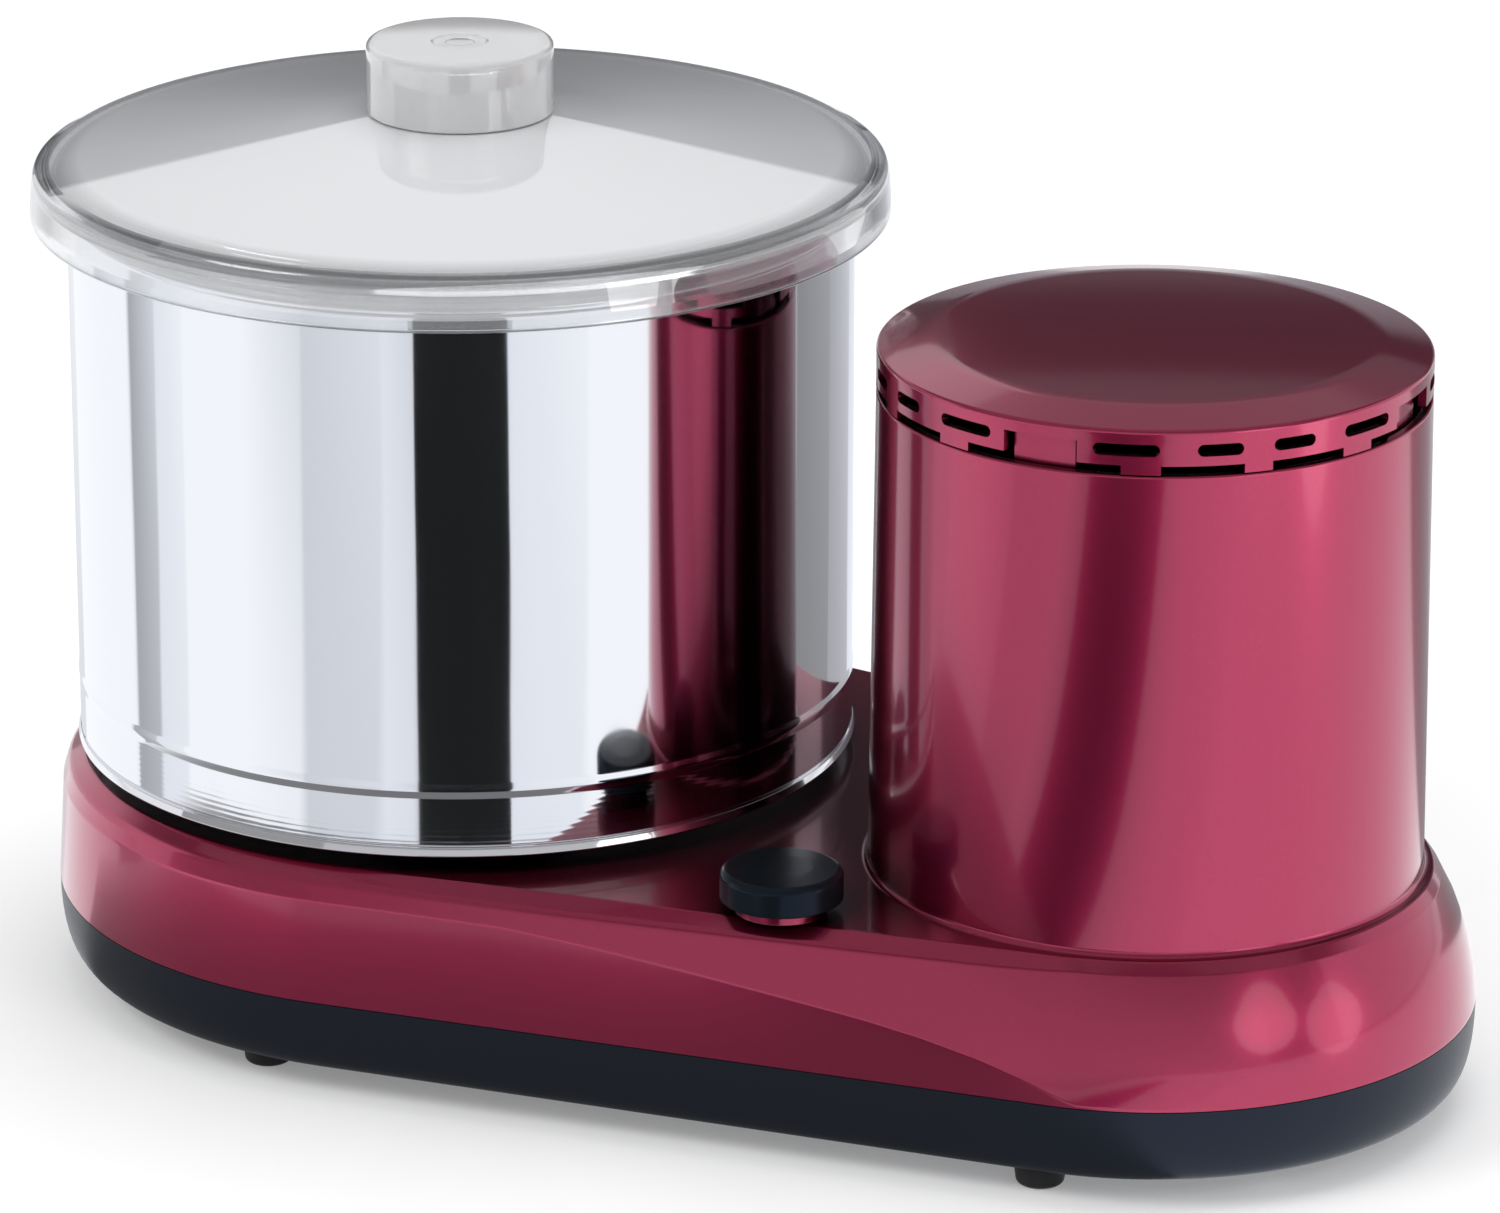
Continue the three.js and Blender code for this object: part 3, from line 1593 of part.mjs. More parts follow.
function capacitorClip() {
  const bottom = plateTop + seatGap;
  const inside = capacitorRadius + seatGap;
  const outside = inside + clipBand;
  const half = clipHeight / 2;
  const band = tube(inside, outside, bottom, bottom + clipHeight, smallSides);
  const tab = block(outside - clipBand / 2, outside + clipFoot, -half, half, bottom, bottom + clipBand);
  return join(band, tab).translate(0, capacitorPlace, 0);
}

function switchButton() {
  const ceiling = bossTop + buttonTravel + buttonClearance;
  const roundStart = [buttonRadius, buttonTop - buttonRound];
  const roundEnd = [buttonRadius - buttonRound, buttonTop];
  return turned(
    [
      [0, buttonStemBottom],
      [buttonStemRadius, buttonStemBottom],
      [buttonStemRadius, ceiling],
      [buttonRadius - buttonWall, ceiling],
      [buttonRadius - buttonWall, buttonBottom],
      [buttonRadius, buttonBottom],
      roundStart,
      ...bend(roundStart, [buttonRadius, buttonTop], roundEnd),
      roundEnd,
      [0, buttonTop],
    ],
    middleSides,
  );
}

function switchBody() {
  const length = switchLength / 2;
  const width = switchWidth / 2;
  const wellBottom = buttonStemBottom - buttonTravel - buttonClearance;
  return cut(
    block(-length, length, -width, width, switchBottom, switchTop),
    disc(buttonStemRadius + screwPlay, wellBottom, switchTop + cutOver, smallSides),
  );
}

function terminalBlock() {
  const bottom = plateTop + seatGap;
  const top = bottom + terminalHeight;
  const length = terminalLength / 2;
  const width = terminalWidth / 2;
  const wells = [-1, 0, 1].map((place) =>
    disc(wellRadius, top - wellDepth, top + cutOver, tinySides).translate(place * wellPitch, 0, 0),
  );
  return cut(block(-length, length, -width, width, bottom, top), ...wells);
}

function finish(color, roughness, metalness) {
  return new THREE.MeshStandardMaterial({ color, roughness, metalness, flatShading: true });
}

const maroonPlastic = finish("#9b2444", 0.25, 0.35);
const blackPlastic = finish("#1e2124", 0.4, 0);
const buttonPlastic = finish("#1a2024", 0.3, 0);
const rubber = finish("#17181a", 0.8, 0);
const polishedSteel = finish("#d4d6d8", 0.12, 1);
const zincSteel = finish("#a9adb0", 0.4, 1);
const castAluminium = finish("#9fa2a4", 0.55, 1);
const turnedSteel = finish("#8f9396", 0.3, 1);
const siliconSteel = finish("#5a5d60", 0.5, 1);
const copper = finish("#b06a3a", 0.35, 1);
const granite = finish("#4c4e50", 0.7, 0);
const clearPlastic = finish("#dfe2e5", 0.1, 0);
const whiteNylon = finish("#e6e4de", 0.5, 0);
const beltRubber = finish("#222222", 0.75, 0);
const canPlastic = finish("#c8c9c6", 0.4, 0);

const grinder = new THREE.Group();
const drumAxis = new THREE.Group();
const motorAxis = new THREE.Group();
drumAxis.position.x = drumX;
motorAxis.position.x = motorX;
grinder.add(drumAxis, motorAxis);

function addPiece(group, name, geometry, material) {
  const mesh = new THREE.Mesh(geometryOf(solidOf(geometry)), material);
  mesh.name = name;
  group.add(mesh);
  return mesh;
}

// Housing
addPiece(grinder, "body_shell", bodyShell(), maroonPlastic);
addPiece(motorAxis, "motor_cover", motorCover(), maroonPlastic);
addPiece(grinder, "base_tray", baseTray(), blackPlastic);
for (const [place, [x, y]] of Object.entries(footPlaces())) {
  addPiece(grinder, `foot_${place}`, foot(), rubber).position.set(x, y, 0);
}
screwPlaces().forEach(([x, y], i) => {
  addPiece(grinder, `tray_screw_${i + 1}`, trayScrew(), zincSteel).position.set(x, y, 0);
});
addPiece(grinder, "chassis_plate", chassisPlate(), zincSteel);
addPiece(drumAxis, "bridge_bar", bridgeBar(), zincSteel);
addPiece(drumAxis, "centre_post", centrePost(), turnedSteel);
addPiece(drumAxis, "post_nut", postNut(), zincSteel);
addPiece(grinder, "cord_gland", cordGland(), rubber);

// Spindle and belt drive
const spindleBore = spindleRadius + seatGap;
addPiece(drumAxis, "spindle_housing", spindleHousing(), castAluminium);
addPiece(
  drumAxis,
  "spindle_bearing_lower",
  bearing(spindleBore, bearingOuterRadius, lowerBearingBottom),
  turnedSteel,
);
addPiece(
  drumAxis,
  "spindle_bearing_upper",
  bearing(spindleBore, bearingOuterRadius, upperBearingBottom),
  turnedSteel,
);
addPiece(drumAxis, "drum_spindle", drumSpindle(), turnedSteel);
addPiece(drumAxis, "driven_pulley", drivenPulley(), castAluminium);
addPiece(drumAxis, "drive_coupling", driveCoupling(), blackPlastic);
addPiece(grinder, "drive_belt", driveBelt(), beltRubber);
addPiece(motorAxis, "motor_pulley", motorPulley(), turnedSteel);

// Drum
addPiece(drumAxis, "drum_shell", drumShell(), polishedSteel);
addPiece(drumAxis, "drum_tube", drumTube(), polishedSteel);
addPiece(drumAxis, "base_stone", baseStone(), granite);
addPiece(drumAxis, "coupling_socket", couplingSocket(), blackPlastic);

// Roller frame
addPiece(drumAxis, "hub_sleeve", hubSleeve(), polishedSteel);
addPiece(drumAxis, "roller_yoke", rollerYoke(), polishedSteel);
for (const side of ["a", "b"]) {
  addPiece(drumAxis, `roller_pin_${side}`, rollerPin(side), polishedSteel);
  addPiece(drumAxis, `roller_stone_${side}`, rollerStone(side), granite);
  addPiece(drumAxis, `roller_bush_${side}`, rollerBush(side), whiteNylon);
}
addPiece(drumAxis, "scraper_arm", scraperArm(), polishedSteel);
addPiece(drumAxis, "scraper_blade", scraperBlade(), whiteNylon);
addPiece(drumAxis, "tension_spring", tensionSpring(), turnedSteel);
addPiece(drumAxis, "lock_knob", lockKnob(), blackPlastic);

// Lid
addPiece(drumAxis, "lid_cover", lidCover(), clearPlastic);
addPiece(drumAxis, "lid_knob", lidKnob(), clearPlastic);
addPiece(drumAxis, "lid_knob_screw", lidKnobScrew(), zincSteel);

// Motor
const shaftBore = shaftRadius + seatGap;
const lowerMotorBearing = lowerBossBottom + bearingBossLip + seatGap;
addPiece(motorAxis, "motor_bracket_lower", lowerMotorBracket(), castAluminium);
addPiece(motorAxis, "motor_bracket_upper", upperMotorBracket(), castAluminium);
addPiece(
  motorAxis,
  "motor_bearing_lower",
  bearing(shaftBore, motorBearingRadius, lowerMotorBearing),
  turnedSteel,
);
addPiece(
  motorAxis,
  "motor_bearing_upper",
  bearing(shaftBore, motorBearingRadius, upperBossBottom),
  turnedSteel,
);
addPiece(motorAxis, "stator_core", statorCore(), siliconSteel);
addPiece(motorAxis, "stator_winding", statorWinding(), copper);
addPiece(motorAxis, "rotor_core", rotorCore(), siliconSteel);
addPiece(motorAxis, "motor_shaft", motorShaft(), turnedSteel);
addPiece(motorAxis, "cooling_fan", coolingFan(), blackPlastic);
boltPlaces().forEach(([x, y], i) => {
  addPiece(motorAxis, `motor_bolt_${i + 1}`, motorBolt(), zincSteel).position.set(x, y, 0);
});

// Electrical pieces
addPiece(motorAxis, "capacitor", capacitor(), canPlastic);
addPiece(motorAxis, "capacitor_clip", capacitorClip(), zincSteel);
addPiece(grinder, "switch_button", switchButton(), buttonPlastic).position.set(switchX, switchY, 0);
addPiece(grinder, "switch_body", switchBody(), blackPlastic).position.set(switchX, switchY, 0);
const terminalAlong = axisSpacing - terminalToMotor;
addPiece(grinder, "terminal_block", terminalBlock(), whiteNylon).position.set(
  drumX + terminalAlong,
  halfWidth(terminalAlong) - terminalInset,
  0,
);

export default grinder;
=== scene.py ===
"""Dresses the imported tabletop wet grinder: its stage, its close-up shapes and its finishes.

Lengths are in metres. +X runs from the drum to the motor, -Y is the front and +Z is up.
"""
import cmath
import json
import math

import bmesh
import bpy
import numpy as np
from mathutils import Matrix, Vector
from mathutils.geometry import delaunay_2d_cdt


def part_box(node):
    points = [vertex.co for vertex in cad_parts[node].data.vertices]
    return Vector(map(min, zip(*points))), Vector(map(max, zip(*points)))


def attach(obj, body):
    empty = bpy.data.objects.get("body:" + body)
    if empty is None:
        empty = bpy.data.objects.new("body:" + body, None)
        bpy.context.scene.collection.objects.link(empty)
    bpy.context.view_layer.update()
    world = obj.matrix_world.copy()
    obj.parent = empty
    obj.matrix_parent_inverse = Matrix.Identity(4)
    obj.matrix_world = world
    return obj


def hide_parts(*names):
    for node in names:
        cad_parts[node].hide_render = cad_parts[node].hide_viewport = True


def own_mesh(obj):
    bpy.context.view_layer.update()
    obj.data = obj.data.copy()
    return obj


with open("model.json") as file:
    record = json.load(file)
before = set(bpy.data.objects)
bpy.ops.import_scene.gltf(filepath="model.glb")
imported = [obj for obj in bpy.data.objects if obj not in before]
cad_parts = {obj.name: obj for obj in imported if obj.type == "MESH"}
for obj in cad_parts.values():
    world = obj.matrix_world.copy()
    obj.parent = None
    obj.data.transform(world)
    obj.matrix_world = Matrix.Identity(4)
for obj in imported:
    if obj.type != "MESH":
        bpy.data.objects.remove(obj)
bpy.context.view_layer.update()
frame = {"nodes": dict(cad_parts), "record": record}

bl_info = {
    "name": "Tabletop wet grinder",
    "version": (1, 0, 0),
    "blender": (4, 5, 0),
    "location": "View3D > Sidebar > Grinder",
    "description": "Builds the shapes, finishes and stage of a tabletop wet grinder",
    "category": "Object",
}

MM = 0.001
TURN = 2 * math.pi
WELD = 1e-6  # points of a mesh this close are one
FLAT_WELD = 1e-9  # the same for a flat outline
DRUM_SIDES = 240
TOWER_SIDES = 240
SMALL_SIDES = 96
TINY_SIDES = 48
ARC_STEPS = 5
SLOT_END_STEPS = 8
REACH_SHARE = 0.9  # how much of a straight run one corner's rounding may take
# Roundings of small edges, the finest first
HAIR_EDGE = 0.2 * MM
FINE_EDGE = 0.3 * MM
NEAT_EDGE = 0.4 * MM
SMALL_EDGE = 0.5 * MM
SOFT_EDGE = 0.6 * MM
MOULDED_EDGE = 0.8 * MM
FULL_EDGE = 1 * MM
WIDE_EDGE = 1.5 * MM


def linear(hex_code):
    """The linear colour of an sRGB hex value."""
    shares = [int(hex_code[i : i + 2], 16) / 255 for i in (1, 3, 5)]
    return [s / 12.92 if s <= 0.04045 else ((s + 0.055) / 1.055) ** 2.4 for s in shares]


def corners(node):
    """The lowest and highest corner of a CAD node's box."""
    low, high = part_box(node)
    return Vector(low), Vector(high)


def middle(node):
    low, high = corners(node)
    return (low + high) / 2


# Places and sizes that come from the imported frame
SHELL_LOW, SHELL_HIGH = corners("body_shell")
DRUM_LOW, DRUM_HIGH = corners("drum_shell")
COVER_LOW, COVER_HIGH = corners("motor_cover")
TRAY_LOW, TRAY_HIGH = corners("base_tray")
LID_LOW, LID_HIGH = corners("lid_cover")
KNOB_LOW, KNOB_HIGH = corners("lid_knob")
BUTTON_LOW, BUTTON_HIGH = corners("switch_button")
STONE_LOW, STONE_HIGH = corners("base_stone")
DRUM_X = middle("drum_shell").x
MOTOR_X = middle("motor_cover").x
DRUM_AXIS = (DRUM_X, 0)
MOTOR_AXIS = (MOTOR_X, 0)
SPACING = MOTOR_X - DRUM_X
BASE_DRUM_RADIUS = DRUM_X - SHELL_LOW.x
BASE_MOTOR_RADIUS = SHELL_HIGH.x - MOTOR_X
LEAN = math.acos((BASE_DRUM_RADIUS - BASE_MOTOR_RADIUS) / SPACING)
KNOB_SCREW_HOLE = 2.8 * MM


# Properties


class GrinderSizes(bpy.types.PropertyGroup):
    """Sizes that a user may change."""

    shell_wall: bpy.props.FloatProperty(
        name="Shell wall", description="Wall of the maroon moulding", default=3 * MM, unit="LENGTH"
    )
    drum_gap: bpy.props.FloatProperty(
        name="Drum gap", description="From the deck up to the drum", default=5.3 * MM, unit="LENGTH"
    )
    drum_shoulder: bpy.props.FloatProperty(
        name="Drum end shoulder",
        description="How far the deck draws in at the drum end",
        default=9 * MM,
        unit="LENGTH",
    )
    motor_shoulder: bpy.props.FloatProperty(
        name="Motor end shoulder",
        description="How far the deck draws in at the motor end",
        default=13.4 * MM,
        unit="LENGTH",
    )
    tower_foot_radius: bpy.props.FloatProperty(
        name="Tower foot radius", description="Tower at the deck", default=83.2 * MM, unit="LENGTH"
    )
    tray_wall: bpy.props.FloatProperty(
        name="Tray wall", description="Wall of the black tray", default=3 * MM, unit="LENGTH"
    )
    cover_wall: bpy.props.FloatProperty(
        name="Cover wall", description="Wall of the tower's cap", default=2.5 * MM, unit="LENGTH"
    )
    cover_disc_radius: bpy.props.FloatProperty(
        name="Cover disc radius",
        description="Where the cap's sloped edge meets its domed disc",
        default=66 * MM,
        unit="LENGTH",
    )
    drum_wall: bpy.props.FloatProperty(
        name="Drum wall", description="Steel sheet of the drum", default=1.5 * MM, unit="LENGTH"
    )
    lid_wall: bpy.props.FloatProperty(
        name="Lid wall", description="Wall of the clear lid", default=2.5 * MM, unit="LENGTH"
    )
    knob_round: bpy.props.FloatProperty(
        name="Knob rounding", description="Round edge of the lid's knob", default=1.8 * MM, unit="LENGTH"
    )


class GrinderColours(bpy.types.PropertyGroup):
    """Colours that a user may change."""

    body: bpy.props.FloatVectorProperty(
        name="Body", description="Pearl colour of the body", subtype="COLOR", default=linear("#AC2450")
    )
    body_flake: bpy.props.FloatVectorProperty(
        name="Body flake", description="Pearl flakes in it", subtype="COLOR", default=linear("#B8345E")
    )
    tray: bpy.props.FloatVectorProperty(
        name="Tray", description="Moulded tray", subtype="COLOR", default=linear("#1B1D20")
    )
    button: bpy.props.FloatVectorProperty(
        name="Button", description="Push button", subtype="COLOR", default=linear("#11161A")
    )
    steel: bpy.props.FloatVectorProperty(
        name="Steel", description="Polished drum", subtype="COLOR", default=linear("#E9EAEE")
    )
    lid: bpy.props.FloatVectorProperty(
        name="Lid", description="Clear lid", subtype="COLOR", default=linear("#E8EAED")
    )
    floor: bpy.props.FloatVectorProperty(
        name="Floor", description="Studio floor", subtype="COLOR", default=linear("#E9E9EA")
    )


# Finishes

# Painted shade on the pearl lacquer, darkened by ambient occlusion near walls
PAINTED_SHADE_REACH = 120 * MM  # how far off a wall still shades the pearl
# Painted shade on the pearl: how open a face must be to the room to keep its full colour, upright and level,
# and where the painted shade is darkest
OPEN_SIDE = 0.52
OPEN_TOP = 0.78
OPEN_LEAST = 0.27
DARKEST_PAINTED_SHADE = 0.05
TURNED_BAND = 20 * MM  # height of the turned lines on the drum
SKIRT_CLEARNESS = 0.9  # how much light the lid's thin skirt lets through
MILKY_DEPTH = 14.6 * MM  # from the lid's top down to where its thick plate starts
POLYCARBONATE_IOR = 1.585
TWO_FACE_IOR = 2.2  # both faces of the lid's plate mirror the room, as one coat of this IOR does
# How many metres a lump, a crystal or a line takes at a scale of 1
TEXTURE_RUNS = {"Noise": 1, "Voronoi": 1, "Wave": math.pi / 10}
FINISHES = {}


def add(tree, kind, inputs=None, **settings):
    """Adds a node, sets its properties, and gives each input a plain value or a link."""
    node = tree.nodes.new(kind)
    for name, value in settings.items():
        setattr(node, name, value)
    for name, value in (inputs or {}).items():
        if isinstance(value, bpy.types.NodeSocket):
            tree.links.new(value, node.inputs[name])
        else:
            node.inputs[name].default_value = value
    return node


def finish(name, colour, **values):
    """A material with a Principled shader, whose even values stand on its own sockets."""
    material = bpy.data.materials.new(name)
    material.use_nodes = True
    tree = material.node_tree
    shader = tree.nodes["Principled BSDF"]
    shader.inputs["Base Color"].default_value = (*colour, 1)
    for socket, value in values.items():
        shader.inputs[socket.replace("_", " ")].default_value = value
    material.diffuse_color = (*colour, 1)
    return material, tree, shader


def vary(tree, shader, pattern, rough=None, tones=None, span=(0, 1), relief=None, strength=1.0):
    """Lets a pattern vary a finish: its roughness, its tone between two, or the height of its skin."""
    if rough:
        spread = add(
            tree, "ShaderNodeMapRange", {"Value": pattern, "To Min": rough[0], "To Max": rough[1]}
        )
        tree.links.new(spread.outputs["Result"], shader.inputs["Roughness"])
    if tones:
        ramp = add(tree, "ShaderNodeValToRGB", {"Fac": pattern})
        for stop, position, tone in zip(ramp.color_ramp.elements, span, tones):
            stop.position = position
            stop.color = (*tone, 1)
        tree.links.new(ramp.outputs["Color"], shader.inputs["Base Color"])
    if relief:
        bump = add(
            tree, "ShaderNodeBump", {"Height": pattern, "Distance": relief, "Strength": strength}
        )
        tree.links.new(bump.outputs["Normal"], shader.inputs["Normal"])


def place_of(tree, scale=(1, 1, 1)):
    """The place on the object in metres, stretched by a scale."""
    where = add(tree, "ShaderNodeTexCoord")
    mapping = add(
        tree, "ShaderNodeMapping", {"Vector": where.outputs["Object"], "Scale": scale}
    )
    return mapping.outputs["Vector"]


def texture(tree, kind, size, inputs=None, stretch=(1, 1, 1), output="Fac", **settings):
    """A pattern on the object whose lumps, crystals or lines are about that size."""
    shared = {"Vector": place_of(tree, stretch), "Scale": TEXTURE_RUNS[kind] / size}
    node = add(tree, f"ShaderNodeTex{kind}", {**shared, **(inputs or {})}, **settings)
    return node.outputs[output]


def pearl_abs(colours):
    # Moulded ABS under pearl lacquer: the flakes lie flat and mirror the room in deep maroon, under
    # a clear coat. Painted shade darkens it near walls.
    material, tree, shader = finish(
        "pearl_lacquered_abs",
        colours.body,
        Metallic=0.9,
        Coat_Weight=1.0,
        Coat_Roughness=0.08,
        Coat_IOR=1.5,
    )
    # Flakes are about 0.05 mm, drawn at 0.5 mm so that they show as a faint grain.
    flakes = texture(tree, "Noise", 0.5 * MM, {"Detail": 1})
    tones = (colours.body, colours.body_flake)
    vary(tree, shader, flakes, rough=(0.21, 0.27), tones=tones, span=(0.45, 0.9))
    tone = shader.inputs["Base Color"].links[0].from_socket
    # Painted shade: ambient occlusion darkens the base colour and thins the coat, so the lacquer falls
    # to near black in the hollow by the drum. Level faces, which only see the room above, are darkened sooner
    # than upright ones.
    hollow = add(tree, "ShaderNodeAmbientOcclusion", {"Distance": PAINTED_SHADE_REACH}, samples=8)
    facing = add(tree, "ShaderNodeNewGeometry").outputs["Normal"]
    upward = add(tree, "ShaderNodeSeparateXYZ", {"Vector": facing}).outputs["Z"]
    limit = add(
        tree, "ShaderNodeMapRange", {"Value": upward, "To Min": OPEN_SIDE, "To Max": OPEN_TOP}
    )
    share = add(
        tree,
        "ShaderNodeMapRange",
        {
            "Value": hollow.outputs["AO"],
            "From Min": OPEN_LEAST,
            "From Max": limit.outputs["Result"],
            "To Min": DARKEST_PAINTED_SHADE,
            "To Max": 1.0,
        },
    )
    tree.links.new(share.outputs["Result"], shader.inputs["Coat Weight"])
    painted_shade_tone = add(
        tree,
        "ShaderNodeVectorMath",
        {"Vector": tone, "Scale": share.outputs["Result"]},
        operation="SCALE",
    )
    tree.links.new(painted_shade_tone.outputs["Vector"], shader.inputs["Base Color"])
    return material


def grained_abs(name, colour, low, high, grain, mirror=0.35):
    # Black ABS from a spark-eroded mould: half gloss, with a painted cold blue cast on its reflections, and a
    # skin of tiny even pits.
    material, tree, shader = finish(name, colour, IOR=1.53, Specular_IOR_Level=mirror)
    # Painted reflection colour: the blue specular tint stands in for cool light on the black plastic's gloss.
    shader.inputs["Specular Tint"].default_value = (*linear("#B4CCFF"), 1)
    # Pits are about 0.1 mm, drawn at 0.8 mm.
    pits = texture(tree, "Noise", 0.8 * MM, {"Detail": 3})
    vary(tree, shader, pits, rough=(low, high), relief=grain)
    return material


def mirror_steel(colours):
    # Stainless sheet, spun and mirror polished: sharp reflections, a little wavy up the wall.
    material, tree, shader = finish("mirror_polished_stainless", colours.steel, Metallic=1.0)
    # Spinning leaves waves some 25 mm wide that run the height of the wall.
    waves = texture(tree, "Noise", 25 * MM, {"Detail": 1}, stretch=(1, 1, 0.25))
    # Smears of the polishing wheel are about 9 mm wide and run up the wall too.
    smears = texture(tree, "Noise", 9 * MM, {"Detail": 3}, stretch=(1, 1, 0.12))
    vary(tree, shader, smears, rough=(0.02, 0.09))
    # Turned lines on the band below the bead stand about 0.5 mm apart, drawn at 1.8 mm.
    lines = texture(tree, "Wave", 1.8 * MM, {"Distortion": 0.4, "Detail": 0}, bands_direction="Z")
    height = add(tree, "ShaderNodeSeparateXYZ", {"Vector": place_of(tree)}).outputs["Z"]
    band_top = DRUM_LOW.z + TURNED_BAND
    band = add(
        tree,
        "ShaderNodeMapRange",
        {"Value": height, "From Min": band_top + 1 * MM, "From Max": band_top},
    ).outputs["Result"]
    turned_band = add(
        tree, "ShaderNodeMath", {0: lines, 1: band}, operation="MULTIPLY"
    ).outputs[0]
    first = add(
        tree, "ShaderNodeBump", {"Height": turned_band, "Distance": 0.03 * MM, "Strength": 0.15}
    )
    second = add(
        tree,
        "ShaderNodeBump",
        {
            "Height": waves,
            "Distance": 0.25 * MM,
            "Strength": 0.35,
            "Normal": first.outputs["Normal"],
        },
    )
    tree.links.new(second.outputs["Normal"], shader.inputs["Normal"])
    return material


def worked_metal(name, colour, low, high, lines=0.0, grain=0.0):
    """A bare metal whose roughness varies, with lines or a grain of the given spacing."""
    material, tree, shader = finish(name, linear(colour), Metallic=1.0)
    vary(tree, shader, texture(tree, "Noise", 6 * MM, {"Detail": 4}), rough=(low, high))
    if lines:
        rings = texture(tree, "Wave", lines, {"Distortion": 0.6, "Detail": 0}, bands_direction="Z")
        vary(tree, shader, rings, relief=0.02 * MM, strength=0.5)
    if grain:
        lumps = texture(tree, "Noise", grain, {"Detail": 4})
        vary(tree, shader, lumps, relief=0.12 * MM, strength=0.5)
    return material


def laminated_steel():
    # Silicon steel sheets 0.5 mm thick, stacked and varnished: dark edges in fine even lines.
    material, tree, shader = finish(
        "stacked_silicon_steel", linear("#4A4D50"), Metallic=0.8, Roughness=0.45
    )
    # The sheets are drawn at 2 mm so that the stack shows.
    sheets = texture(tree, "Wave", 2 * MM, {"Distortion": 0.2, "Detail": 0}, bands_direction="Z")
    tones = (linear("#34373A"), linear("#6B6E70"))
    vary(tree, shader, sheets, tones=tones, span=(0.2, 0.8), relief=0.05 * MM)
    return material


def enamelled_copper():
    # Copper wire under clear enamel, wound in layers: warm brown gloss over fine parallel strands.
    material, tree, shader = finish(
        "enamelled_copper_wire",
        linear("#A85A2A"),
        Metallic=0.9,
        Roughness=0.3,
        Coat_Weight=0.6,
        Coat_Roughness=0.15,
    )
    # Strands of 0.7 mm wire, drawn at 2.4 mm.
    strands = texture(tree, "Wave", 2.4 * MM, {"Distortion": 2, "Detail": 0}, bands_direction="Z")
    tones = (linear("#6E3516"), linear("#C27840"))
    vary(tree, shader, strands, tones=tones, span=(0.1, 0.9), relief=0.2 * MM)
    return material


def black_granite():
    # Ground black granite: dark grey crystals 1 to 3 mm across, with paler flecks between them.
    material, tree, shader = finish("ground_black_granite", linear("#3E4042"), IOR=1.55)
    crystals = texture(tree, "Voronoi", 2.2 * MM, output="Color")
    grey = add(tree, "ShaderNodeSeparateColor", {"Color": crystals}).outputs[0]
    tones = (linear("#2C2E30"), linear("#7D8083"))
    vary(tree, shader, grey, rough=(0.45, 0.7), tones=tones, span=(0.35, 1))
    # The ground skin is pitted between the crystals, in pits about 0.9 mm wide.
    pits = texture(tree, "Noise", 0.9 * MM, {"Detail": 4})
    vary(tree, shader, pits, relief=0.1 * MM, strength=0.6)
    return material


def clear_polycarbonate(name, colour, transmission, milky_from=None):
    # Injection moulded polycarbonate: clear and glossy. Above milky_from it scatters light in its plate.
    material, tree, shader = finish(
        name,
        colour,
        IOR=POLYCARBONATE_IOR,
        Transmission_Weight=transmission,
        Coat_Weight=1.0,
        Coat_Roughness=0.01,
        Coat_IOR=TWO_FACE_IOR if milky_from else POLYCARBONATE_IOR,
    )
    # Flow marks of the moulding, some 12 mm wide.
    vary(tree, shader, texture(tree, "Noise", 12 * MM), rough=(0.03, 0.07))
    if milky_from:
        height = add(tree, "ShaderNodeSeparateXYZ", {"Vector": place_of(tree)}).outputs["Z"]
        clear = add(
            tree,
            "ShaderNodeMapRange",
            {
                "Value": height,
                "From Min": milky_from,
                "From Max": milky_from + 2 * MM,
                "To Min": SKIRT_CLEARNESS,
                "To Max": transmission,
            },
        )
        tree.links.new(clear.outputs["Result"], shader.inputs["Transmission Weight"])
    return material


def plain_plastic(name, colour, low, high, pitch, sheen=0.0):
    """A moulded plastic or rubber, whose skin varies in gloss and tone."""
    material, tree, shader = finish(name, linear(colour), IOR=1.5, Sheen_Weight=sheen)
    skin = texture(tree, "Noise", pitch, {"Detail": 3})
    light = [min(1.0, channel * 1.25 + 0.002) for channel in linear(colour)]
    tones = (linear(colour), light)
    vary(tree, shader, skin, rough=(low, high), tones=tones, span=(0.35, 0.75))
    vary(tree, shader, skin, relief=0.04 * MM, strength=0.6)
    return material


def ribbed_belt():
    # Ribbed rubber belt: matte black, with ribs 2.3 mm apart round its length, drawn at 4.6 mm.
    material, tree, shader = finish("ribbed_belt_rubber", linear("#202122"), Roughness=0.75)
    ribs = texture(tree, "Wave", 4.6 * MM, bands_direction="Z")
    vary(tree, shader, ribs, relief=0.6 * MM)
    return material


